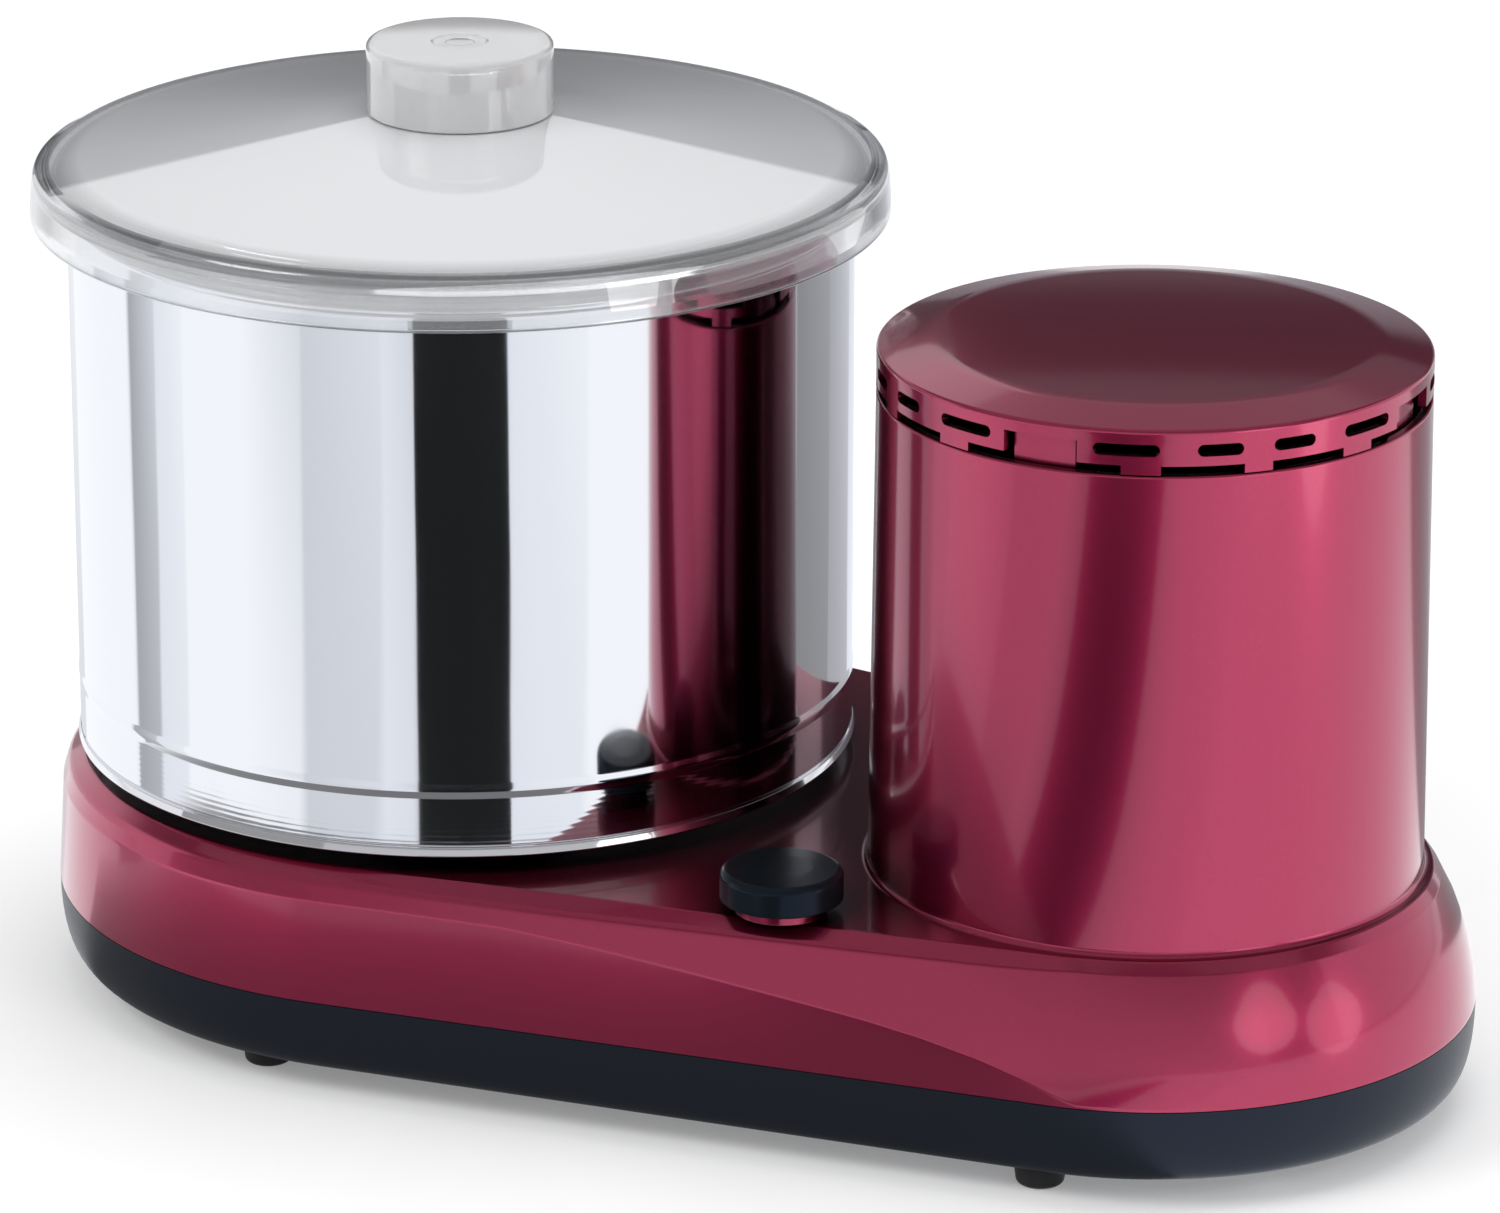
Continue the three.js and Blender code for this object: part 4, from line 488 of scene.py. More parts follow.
def make_finishes(colours):
    """One finish for each material slot of the record, and a clearer one for the lid's knob."""
    FINISHES.update(
        body_plastic=pearl_abs(colours),
        tray_plastic=grained_abs("grained_black_abs", colours.tray, low=0.3, high=0.42, grain=0.01 * MM),
        button_plastic=grained_abs(
            "polished_black_abs", colours.button, low=0.16, high=0.26, grain=0.004 * MM, mirror=0.2
        ),
        # Moulded nitrile rubber: matte, a little dusty.
        foot_rubber=plain_plastic(
            "moulded_rubber", "#191A1C", low=0.7, high=0.85, pitch=1.5 * MM, sheen=0.2
        ),
        drum_steel=mirror_steel(colours),
        # Stainless sheet and bar, brushed and then polished. The brush's lines are drawn at 1 mm.
        frame_steel=worked_metal("brushed_stainless", "#C8CACE", low=0.16, high=0.3, lines=1 * MM),
        # Pressed steel under zinc plating: pale grey with a faint frost of grains, drawn at 1.2 mm.
        zinc_steel=worked_metal("zinc_plated_steel", "#A9ADB0", low=0.3, high=0.45, grain=1.2 * MM),
        # Steel turned on a lathe: fine rings, drawn at 1.2 mm.
        turned_steel=worked_metal("turned_steel", "#9A9DA0", low=0.2, high=0.34, lines=1.2 * MM),
        # Aluminium as it leaves the mould: dull, with pits about 0.8 mm wide.
        cast_aluminium=worked_metal("cast_aluminium", "#A2A5A7", low=0.45, high=0.6, grain=0.8 * MM),
        silicon_steel=laminated_steel(),
        copper_wire=enamelled_copper(),
        granite=black_granite(),
        clear_plastic=clear_polycarbonate(
            "milky_polycarbonate", colours.lid, transmission=0.22, milky_from=LID_HIGH.z - MILKY_DEPTH
        ),
        knob_plastic=clear_polycarbonate("clear_polycarbonate", linear("#FCFCFD"), transmission=0.5),
        # Moulded nylon: off-white and waxy.
        white_nylon=plain_plastic("moulded_nylon", "#E6E2D8", low=0.35, high=0.5, pitch=2 * MM),
        # Black nylon for working parts: half gloss.
        inner_plastic=plain_plastic("black_nylon", "#1C1D1F", low=0.35, high=0.5, pitch=2 * MM),
        belt_rubber=ribbed_belt(),
        # Polypropylene capacitor can: pale grey and waxy.
        can_plastic=plain_plastic("capacitor_can", "#C6C8C5", low=0.35, high=0.5, pitch=3 * MM),
    )


# Shapes


def rounded(places, steps=ARC_STEPS, closed=True):
    """A profile through (radius, height, rounding) corners, each drawn as an arc of that many steps."""
    points = []
    last = len(places) - 1
    for i, (radius, height, bend) in enumerate(places):
        here = complex(radius, height)
        if bend == 0 or (not closed and i in (0, last)):
            points.append(here)
            continue
        back = complex(*places[i - 1][:2]) - here
        ahead = complex(*places[(i + 1) % len(places)][:2]) - here
        half = abs(cmath.phase(ahead / back)) / 2
        reach = min(bend / math.tan(half), REACH_SHARE * abs(back), REACH_SHARE * abs(ahead))
        start = here + back / abs(back) * reach
        end = here + ahead / abs(ahead) * reach
        centre = here + (start + end - 2 * here) / (2 * math.cos(half) ** 2)
        sweep = cmath.phase((end - centre) / (start - centre))
        for k in range(steps + 1):
            points.append(centre + (start - centre) * cmath.exp(1j * sweep * k / steps))
    return [(point.real, point.imag) for point in points]


def slot(centre, half, end, step=None):
    """A slot's outline with round ends. A step puts points along its straight edges too."""
    count = round(2 * half / step) if step else 1
    points = []
    for side in (1, -1):
        for i in range(SLOT_END_STEPS + 1):
            angle = -side * math.pi / 2 + math.pi * i / SLOT_END_STEPS
            x = centre[0] + side * half + end * math.cos(angle)
            points.append((x, centre[1] + end * math.sin(angle)))
        for i in range(1, count):
            points.append((centre[0] + side * half * (1 - 2 * i / count), centre[1] + side * end))
    return points


def circle(centre, radius, sides):
    return [
        (centre[0] + radius * math.cos(TURN * i / sides), centre[1] + radius * math.sin(TURN * i / sides))
        for i in range(sides)
    ]


def is_inside(point, loop):
    """Whether a flat point lies inside a loop."""
    inside = False
    for (ax, ay), (bx, by) in zip(loop, loop[1:] + loop[:1]):
        if (ay > point[1]) != (by > point[1]):
            if point[0] < ax + (bx - ax) * (point[1] - ay) / (by - ay):
                inside = not inside
    return inside


def filled(outline, holes=(), extra=()):
    """Points and triangles that fill a flat outline round its holes."""
    loops = [list(outline), *[list(hole) for hole in holes]]
    places, edges = [], []
    for loop in loops:
        start = len(places)
        edges += [(start + i, start + (i + 1) % len(loop)) for i in range(len(loop))]
        places += loop
    places += list(extra)
    found = delaunay_2d_cdt([Vector(place) for place in places], edges, [], 0, FLAT_WELD)
    faces = []
    for face in found[2]:
        centre = sum((found[0][i] for i in face), Vector((0, 0))) / len(face)
        if is_inside(centre, loops[0]) and not any(is_inside(centre, hole) for hole in loops[1:]):
            faces.append(face)
    return found[0], faces


class Skin:
    """Points and faces of one mesh, added part by part and welded at the end."""

    def __init__(self):
        self.points = []
        self.faces = []

    def strip(self, rings, closed=False):
        """Joins rings of equally many points, each a closed loop. closed joins the last to the first."""
        start, count = len(self.points), len(rings[0])
        for ring in rings:
            self.points += [tuple(point) for point in ring]
        for level in range(len(rings) if closed else len(rings) - 1):
            low = start + level * count
            high = start + (level + 1) % len(rings) * count
            for i in range(count):
                after = (i + 1) % count
                self.faces.append((low + i, low + after, high + after, high + i))

    def cap(self, ring):
        """Closes a loop with one face."""
        start = len(self.points)
        self.points += [tuple(point) for point in ring]
        self.faces.append(tuple(range(start, start + len(ring))))

    def bar(self, rings):
        """A closed bar through cross-sections."""
        self.strip(rings)
        self.cap(rings[0])
        self.cap(rings[-1])

    def flat(self, outline, holes, height):
        """A level face round holes."""
        self.sheet(*filled(outline, holes), lambda x, y: (x, y, height))

    def sheet(self, places, faces, lay):
        """A filled flat outline, laid on a surface by a function."""
        start = len(self.points)
        self.points += [lay(*place) for place in places]
        self.faces += [tuple(start + i for i in face) for face in faces]

    def turned(self, profile, centre, sides, closed=False):
        """A profile turned round an upright axis."""
        rings = [
            [(x, y, height) for x, y in circle(centre, radius, sides)] for radius, height in profile
        ]
        self.strip(rings, closed)

    def sector(self, radii, heights, centre, angles, steps=6):
        """A closed piece of a ring round an upright axis, between two radii, heights and angles."""
        (near, far), (low, high) = radii, heights
        rings = []
        for i in range(steps + 1):
            angle = angles[0] + (angles[1] - angles[0]) * i / steps
            ring = []
            for radius, height in ((near, low), (far, low), (far, high), (near, high)):
                x = centre[0] + radius * math.cos(angle)
                ring.append((x, centre[1] + radius * math.sin(angle), height))
            rings.append(ring)
        self.bar(rings)

    def join(self, other):
        """Adds another skin's points and faces."""
        start = len(self.points)
        self.points += other.points
        self.faces += [tuple(start + i for i in face) for face in other.faces]

    def moved(self, matrix):
        self.points = [tuple(matrix @ Vector(point)) for point in self.points]
        return self

    def welded(self):
        shape = bmesh.new()
        corners_made = [shape.verts.new(point) for point in self.points]
        for face in self.faces:
            shape.faces.new([corners_made[i] for i in face])
        bmesh.ops.remove_doubles(shape, verts=shape.verts, dist=WELD)
        bmesh.ops.recalc_face_normals(shape, faces=shape.faces)
        return shape

    def thicken(self, wall):
        """Turns the open skin into a wall of that thickness, with the skin as its outer face."""
        shape = self.welded()
        shape.normal_update()
        inner = {vert: shape.verts.new(vert.co - vert.normal * wall) for vert in list(shape.verts)}
        rims = [edge.link_loops[0] for edge in shape.edges if edge.is_boundary]
        rims = [(loop.vert, loop.link_loop_next.vert) for loop in rims]
        for face in list(shape.faces):
            shape.faces.new([inner[vert] for vert in reversed(face.verts)])
        for start, end in rims:
            shape.faces.new((end, start, inner[start], inner[end]))
        shape.verts.index_update()
        self.points = [tuple(vert.co) for vert in shape.verts]
        self.faces = [tuple(vert.index for vert in face.verts) for face in shape.faces]
        shape.free()

    def piece(self, name, slot, body, *nodes, sharp=35, finish_name=None):
        """Makes the mesh into a piece that rides on a body and stands for CAD nodes."""
        shape = self.welded()
        mesh = bpy.data.meshes.new(name)
        shape.to_mesh(mesh)
        shape.free()
        mesh.shade_smooth()
        mesh.set_sharp_from_angle(angle=math.radians(sharp))
        mesh.materials.append(FINISHES[finish_name or slot])
        piece = bpy.data.objects.new(name, mesh)
        bpy.context.scene.collection.objects.link(piece)
        # Wide flat faces lead the shading, so that small rounded edges stay small.
        shading = piece.modifiers.new("flat_faces_lead", "WEIGHTED_NORMAL")
        shading.keep_sharp = True
        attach(piece, body)
        if nodes:
            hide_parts(*nodes)
        return piece


def lathe(profile, centre, sides, closed=True, steps=ARC_STEPS):
    """A skin turned from a profile of (radius, height, rounding) corners. An open one ends on the axis."""
    skin = Skin()
    skin.turned(rounded(profile, steps, closed), centre, sides, closed)
    return skin


# Steps round the two ends of the base's outline, and along each of its sides
DRUM_END_STEPS = 110
MOTOR_END_STEPS = 84
BASE_SIDE_STEPS = 46


def outline_place(share, angle):
    """A place on the round that the base's outline has at a share of the way from drum to motor."""
    radius = BASE_DRUM_RADIUS + (BASE_MOTOR_RADIUS - BASE_DRUM_RADIUS) * share
    x = DRUM_X + SPACING * share + radius * math.cos(angle)
    return x, radius * math.sin(angle), math.cos(angle), math.sin(angle), (x - DRUM_X) / SPACING


def outline_places():
    """Places round the base's outline: x, y, the direction that faces out, and the share of the way along."""
    sweep = TURN - 2 * LEAN
    shares = [i / BASE_SIDE_STEPS for i in range(1, BASE_SIDE_STEPS)]
    places = [outline_place(0, LEAN + sweep * i / DRUM_END_STEPS) for i in range(DRUM_END_STEPS + 1)]
    places += [outline_place(share, -LEAN) for share in shares]
    places += [outline_place(1, LEAN * (2 * i / MOTOR_END_STEPS - 1)) for i in range(MOTOR_END_STEPS + 1)]
    places += [outline_place(share, LEAN) for share in reversed(shares)]
    return places


OUTLINE = outline_places()

# The crease between the upright side and the sloped shoulder falls from the deck at the drum end to
# the parting line at the motor end. Shares of the way along, then of the shell's height.
CREASE_SHARES = (
    (0.2, 0.77),
    (0.33, 0.765),
    (0.464, 0.70),
    (0.6, 0.61),
    (0.72, 0.52),
    (0.81, 0.45),
    (0.89, 0.37),
    (0.97, 0.26),
    (1.036, 0.14),
    (1.09, 0.02),
)
SHOULDER_SLOPE = 0.31  # inset of the sloped shoulder for each unit of its height
SHOULDER_TOP_SHARE = 0.915  # where the slope ends and the roll onto the deck starts
SIDE_DRAFT = 2.4 * MM  # inset of the upright side if it went the whole height
BULGE = 2.4 * MM  # how far the shoulder swells at the motor's end
BULGE_START_SHARE = 0.9  # where the swelling starts along the base, and how long it takes to be full
BULGE_RUN_SHARE = 0.3
SHOULDER_EASE = 1.5  # how late along the base the shoulder widens
SHOULDER_STEPS = (0.25, 0.5, 0.75)
CREASE_BEND = 5 * MM
SHOULDER_BEND = 4 * MM
DECK_BEND = 7 * MM
ROLL_LEAST = 2.5 * MM
DECK_RING = 0.6 * MM  # level ring between the roll and the deck's flat face


def shoulder_profile(share, sizes, deck, wall=0.0):
    """(inset, height) points from the parting line up to the deck, at a share of the way along."""
    crease = float(np.interp(share, *zip(*CREASE_SHARES)))
    late = min(max((share - BULGE_START_SHARE) / BULGE_RUN_SHARE, 0), 1)
    low = SHELL_LOW.z
    rise = deck - wall - low
    widening = min(max(share, 0), 1) ** SHOULDER_EASE
    end = sizes.drum_shoulder + (sizes.motor_shoulder - sizes.drum_shoulder) * widening
    foot = SIDE_DRAFT * crease * (1 - late)
    slope = SHOULDER_TOP_SHARE - crease
    top = foot + slope * rise * SHOULDER_SLOPE
    points = [(0, 0, 0), (foot, crease * rise, CREASE_BEND)]
    for step in SHOULDER_STEPS:
        swell = 4 * BULGE * late * step * (1 - step)
        points.append((foot + (top - foot) * step - swell, (crease + slope * step) * rise, 0))
    end = max(end, top + ROLL_LEAST)
    points.append((top, SHOULDER_TOP_SHARE * rise, SHOULDER_BEND))
    points += [(end, rise, DECK_BEND), (end + DECK_RING, rise, 0)]
    return [(inset + wall, low + height) for inset, height in rounded(points, closed=False)]


def shoulder_rings(sizes, deck, wall=0.0):
    """Rings round the base's outline from the parting line up to the deck."""
    profiles = [shoulder_profile(place[4], sizes, deck, wall) for place in OUTLINE]
    return [
        [
            (x - out_x * profile[level][0], y - out_y * profile[level][0], profile[level][1])
            for (x, y, out_x, out_y, _), profile in zip(OUTLINE, profiles)
        ]
        for level in range(len(profiles[0]))
    ]


# Stage


CAMERA_PLACE = (0.98448, -1.97349, 0.90649)
CAMERA_RIGHT = (0.89433, 0.44740, 0.00149)
CAMERA_FORWARD = (-0.42164, 0.84394, -0.33164)
CAMERA_LENS = 184.4
SENSOR_WIDTH = 36
CAMERA_REACH = 50
VIEW_HEADING = math.atan2(-0.894, 0.447)  # from the drum towards the camera
FLOOR_HALF = 6
LAMP_AIM = Vector((0, 0, 0.12))
AIR_STRENGTH = 0.62  # light from all round
GLOSS_STRENGTH = 0.35  # the room's upper part, as gloss shows it
FLOOR_LIFT = 0.22  # how much brighter the floor is where it is seen
CARD_STRENGTH = 1.15
CARD_LIFT = 0.3 * MM  # off the floor
# Name, place, width, power in watts, and whether gloss shows it. The two small lamps stand where the
# motor end's two soft spots mirror them.
LAMPS = (
    ("key_lamp", (-1.6, -2.0, 2.4), 1.6, 34, False),
    ("fill_lamp", (2.4, -1.2, 1.6), 1.4, 14, False),
    ("top_lamp", (0.2, 0.5, 2.8), 2.0, 26, False),
    ("left_spark_lamp", (0.733, -0.288, 0.215), 0.26, 0.2, True),
    ("right_spark_lamp", (0.812, -0.012, 0.135), 0.26, 0.18, True),
)
FAN_REACH = 1.1
# Tones of the card round the drum
WHITE_TONE = "#F8FAFC"
SOFT_TONE = "#E4E8EE"
PALE_TONE = "#D0D3D8"
GREY_TONE = "#A8A8AC"
DIM_TONE = "#8A8A8C"
DARK_TONE = "#1E1F20"
# Angle round the drum from the camera's heading, and the tone that its wall mirrors there
FAN_SHADES = (
    (-90, PALE_TONE),
    (-78, WHITE_TONE),
    (-56.6, WHITE_TONE),
    (-55.8, GREY_TONE),
    (-49.6, SOFT_TONE),
    (-43.6, WHITE_TONE),
    (-32.6, WHITE_TONE),
    (-22.6, PALE_TONE),
    (-10.6, SOFT_TONE),
    (-6, PALE_TONE),
    (-5.95, DARK_TONE),
    (7.55, DARK_TONE),
    (7.6, SOFT_TONE),
    (19.4, WHITE_TONE),
    (57.4, WHITE_TONE),
    (58.4, DIM_TONE),
    (69.4, GREY_TONE),
    (80, PALE_TONE),
    (90, SOFT_TONE),
)
# The near card lies along the front of the base. It ends in a round about the drum, where the drum's
# wall would start to mirror it.
FRONT_NEAR = -0.08  # under the base, where the card starts along Y
FRONT_REACH = 0.325
# Place along X and shade
FRONT_SHADES = (
    (-0.34, "#E8E8EA"),
    (-0.30, "#A6A6A8"),
    (-0.26, "#8A8A8C"),
    (-0.20, "#7E7E80"),
    (-0.14, "#7A7A7C"),
    (-0.08, "#767678"),
    (-0.02, "#747476"),
    (0.04, "#747476"),
    (0.10, "#747476"),
    (0.14, "#7E7E80"),
    (0.18, "#8A8A8C"),
)
# Name, place along X, heading from the camera's, width, distance, and the shade at each level
WALL_CARDS = (
    (
        "lid_card",
        DRUM_X - 0.035,
        180,
        0.36,
        0.20,
        ((0.255, "#3C3D40"), (0.349, "#4E4F52"), (0.353, "#CCCDCF"), (0.50, "#D8D8DA")),
    ),
    (
        "rear_card",
        0,
        180,
        6.0,
        2.5,
        (
            (0, "#8C8E93"),
            (0.70, "#7E8085"),
            (0.90, "#202022"),
            (1.19, "#202022"),
            (1.20, "#6E6E72"),
            (1.75, "#6E6E72"),
            (2.00, "#9A9A9C"),
            (3.60, "#9A9A9C"),
        ),
    ),
    ("front_card", 0, 0, 4.0, 2.3,
     ((0.05, "#C8C8CA"), (1.00, "#B4B4B6"), (2.00, "#6A696A"), (2.6, "#4A494A"))),
    ("right_card", 0, 100, 3.0, 2.3,
     ((0.05, "#E0E0E2"), (1.20, "#DADADC"), (1.60, "#707072"), (2.6, "#505052"))),
    ("left_card", 0, -120, 3.0, 2.3,
     ((0.05, "#E8E8EA"), (1.40, "#E4E4E6"), (1.80, "#707072"), (2.6, "#505052"))),
)


def card(name, points, shades):
    """A strip of studio card that only shows in mirrors and gloss. Each pair of points has its own shade."""
    mesh = bpy.data.meshes.new(name)
    mesh.from_pydata(points, [], [(i, i + 1, i + 3, i + 2) for i in range(0, len(points) - 2, 2)])
    tones = mesh.color_attributes.new("tone", "FLOAT_COLOR", "POINT")
    for i, shade in enumerate(shades):
        for side in (0, 1):
            tones.data[2 * i + side].color = (*linear(shade), 1)
    material = bpy.data.materials.new(name)
    material.use_nodes = True
    tree = material.node_tree
    tree.nodes.clear()
    tone = add(tree, "ShaderNodeAttribute", attribute_name="tone")
    light = add(tree, "ShaderNodeEmission", {"Color": tone.outputs["Color"], "Strength": CARD_STRENGTH})
    add(tree, "ShaderNodeOutputMaterial", {"Surface": light.outputs[0]})
    mesh.materials.append(material)
    panel = bpy.data.objects.new(name, mesh)
    bpy.context.scene.collection.objects.link(panel)
    panel.visible_camera = False
    panel.visible_diffuse = False
    panel.visible_transmission = False
    panel.visible_shadow = False
    return panel


def way(heading):
    """The level direction at an angle from the camera's heading."""
    angle = VIEW_HEADING + math.radians(heading)
    return Vector((math.cos(angle), math.sin(angle), 0))


def floor_fan():
    """A card round the drum whose shades stand as upright bands in the drum's mirror."""
    near = DRUM_HIGH.x - DRUM_X
    points = []
    for angle, _ in FAN_SHADES:
        foot = Vector((DRUM_X, 0, CARD_LIFT)) + near * way(angle)
        points += [foot, foot + FAN_REACH * way(2 * angle)]
    return card("floor_fan", points, [shade for _, shade in FAN_SHADES])


def wall_card(name, centre_x, heading, width, distance, levels):
    """An upright card that faces the part, with its own shade at each level."""
    side = way(heading + 90) * width / 2
    points = []
    for height, _ in levels:
        foot = distance * way(heading) + Vector((centre_x, 0, height))
        points += [foot - side, foot + side]
    return card(name, points, [shade for _, shade in levels])


def seen_rays(tree):
    """1 for what the camera, a mirror or a clear piece sees, and 0 for the light that falls on things."""
    rays = add(tree, "ShaderNodeLightPath").outputs
    seen = rays["Is Camera Ray"]
    for kind in ("Is Glossy Ray", "Is Transmission Ray"):
        seen = add(tree, "ShaderNodeMath", {0: seen, 1: rays[kind]}, operation="MAXIMUM").outputs[0]
    return seen


class GRINDER_OT_stage(bpy.types.Operator):
    """Sets the camera, the pale floor, the soft lights and the cards that the steel mirrors"""

    bl_idname = "grinder.stage"
    bl_label = "Stage"

    def execute(self, context):
        scene = context.scene
        self.set_camera(scene)
        self.lay_floor(scene)
        self.light_air(scene)
        self.hang_lamps(scene)
        self.stand_cards()
        return {"FINISHED"}

    def set_camera(self, scene):
        forward, right = Vector(CAMERA_FORWARD), Vector(CAMERA_RIGHT)
        up = right.cross(forward)
        lens = bpy.data.cameras.new("camera")
        lens.lens = CAMERA_LENS
        lens.sensor_width = SENSOR_WIDTH
        lens.clip_end = CAMERA_REACH
        camera = bpy.data.objects.new("camera", lens)
        turn = Matrix((right, up, -forward)).transposed().to_4x4()
        camera.matrix_world = Matrix.Translation(CAMERA_PLACE) @ turn
        scene.collection.objects.link(camera)
        scene.camera = camera
        scene.view_settings.view_transform = "Standard"

    def lay_floor(self, scene):
        # Painted studio floor: matte and pale, lifted to white where the camera or a mirror sees it.
        colour = scene.grinder_colours.floor
        material, tree, shader = finish("matte_floor_paint", colour, Roughness=0.9, Specular_IOR_Level=0.1)
        strength = add(tree, "ShaderNodeMath", {0: seen_rays(tree), 1: FLOOR_LIFT}, operation="MULTIPLY")
        lift = add(
            tree, "ShaderNodeEmission", {"Color": (1, 1, 1, 1), "Strength": strength.outputs[0]}
        )
        both = add(tree, "ShaderNodeAddShader", {0: shader.outputs[0], 1: lift.outputs[0]})
        tree.links.new(both.outputs[0], tree.nodes["Material Output"].inputs["Surface"])
        mesh = bpy.data.meshes.new("floor")
        places = [(x * FLOOR_HALF, y * FLOOR_HALF, 0) for x, y in ((-1, -1), (1, -1), (1, 1), (-1, 1))]
        mesh.from_pydata(places, [], [(0, 1, 2, 3)])
        mesh.materials.append(material)
        floor = bpy.data.objects.new("floor", mesh)
        scene.collection.objects.link(floor)

    def light_air(self, scene):
        world = bpy.data.worlds.new("studio_air")
        world.use_nodes = True
        scene.world = world
        tree = world.node_tree
        back = tree.nodes["Background"]
        back.inputs["Color"].default_value = (1, 1, 1, 1)
        level = add(
            tree,
            "ShaderNodeMapRange",
            {"Value": seen_rays(tree), "To Min": AIR_STRENGTH, "To Max": 1.0},
        ).outputs["Result"]
        glossy = add(tree, "ShaderNodeLightPath").outputs["Is Glossy Ray"]
        strength = add(
            tree,
            "ShaderNodeMath",
            {0: glossy, 1: GLOSS_STRENGTH - 1, 2: level},
            operation="MULTIPLY_ADD",
        )
        tree.links.new(strength.outputs[0], back.inputs["Strength"])

    def hang_lamps(self, scene):
        for name, place, size, power, in_gloss in LAMPS:
            lamp = bpy.data.lights.new(name, "AREA")
            lamp.shape = "DISK"
            lamp.size = size
            lamp.energy = power
            stand = bpy.data.objects.new(name, lamp)
            stand.location = place
            aim = LAMP_AIM - Vector(place)
            stand.rotation_euler = aim.to_track_quat("-Z", "Y").to_euler()
            stand.visible_glossy = in_gloss
            stand.visible_diffuse = not in_gloss
            scene.collection.objects.link(stand)

    def stand_cards(self):
        floor_fan()
        for row in WALL_CARDS:
            wall_card(*row)
        points = []
        for x, _ in FRONT_SHADES:
            far = -math.sqrt(FRONT_REACH**2 - (x - DRUM_X) ** 2)
            points += [(x, FRONT_NEAR, 2 * CARD_LIFT), (x, far, 2 * CARD_LIFT)]
        card("near_card", points, [shade for _, shade in FRONT_SHADES])


# Housing


class GRINDER_OT_body_shell(bpy.types.Operator):
    """Builds the maroon moulding: the deck with its creased sides, and the motor tower"""

    bl_idname = "grinder.body_shell"
    bl_label = "Body shell"

    BRIM = 0.3 * MM  # level ring between a hole's rounding and the deck
    FILLET = 2 * MM  # where the tower meets the deck
    COLLAR_GAP = 3.5 * MM  # from the spindle's coupling to the collar round it
    COLLAR_RISE = 3.2 * MM
    BOSS_RADIUS = 13.5 * MM  # the ring that the push button's stem runs in
    BOSS_RISE = 2.7 * MM
    BOSS_HOLE = 9.4 * MM

    def execute(self, context):
        sizes = context.scene.grinder_sizes
        wall = sizes.shell_wall
        deck = DRUM_LOW.z - sizes.drum_gap
        under = deck - wall
        foot = sizes.tower_foot_radius
        head = COVER_HIGH.x - MOTOR_X
        tower = [
            (foot + self.FILLET + self.BRIM, deck, 0),
            (foot, deck, self.FILLET),
            (head, SHELL_HIGH.z, MOULDED_EDGE),
            (head - wall, SHELL_HIGH.z, SOFT_EDGE),
            (foot - wall, under, 0),
        ]
        coupling = corners("drive_coupling")[1].x - DRUM_X + self.COLLAR_GAP
        collar_top = deck + self.COLLAR_RISE
        collar = [
            (coupling + wall + self.BRIM, deck, 0),
            (coupling + wall, deck, SMALL_EDGE),
            (coupling + wall, collar_top, MOULDED_EDGE),
            (coupling, collar_top, MOULDED_EDGE),
            (coupling, under, 0),
        ]
        boss_top = deck + self.BOSS_RISE
        boss = [
            (self.BOSS_RADIUS + self.BRIM, deck, 0),
            (self.BOSS_RADIUS, deck, SMALL_EDGE),
            (self.BOSS_RADIUS, boss_top, SOFT_EDGE),
            (self.BOSS_HOLE, boss_top, NEAT_EDGE),
            (self.BOSS_HOLE, under, 0),
        ]
        parts = [
            (rounded(tower, closed=False), MOTOR_AXIS, TOWER_SIDES),
            (rounded(collar, closed=False), DRUM_AXIS, SMALL_SIDES),
            (rounded(boss, closed=False), middle("switch_button"), TINY_SIDES),
        ]
        skin = Skin()
        outer = shoulder_rings(sizes, deck)
        inner = shoulder_rings(sizes, deck, wall)
        skin.strip(outer)
        skin.strip(inner)
        skin.strip([outer[0], inner[0]])
        for profile, centre, sides in parts:
            skin.turned(profile, centre, sides)
        for rings, end, height in ((outer, 0, deck), (inner, -1, under)):
            outline = [point[:2] for point in rings[-1]]
            holes = [circle(centre, profile[end][0], sides) for profile, centre, sides in parts]
            skin.flat(outline, holes, height)
        skin.piece("shell_moulding", "body_plastic", "housing", "body_shell", sharp=50)
        return {"FINISHED"}


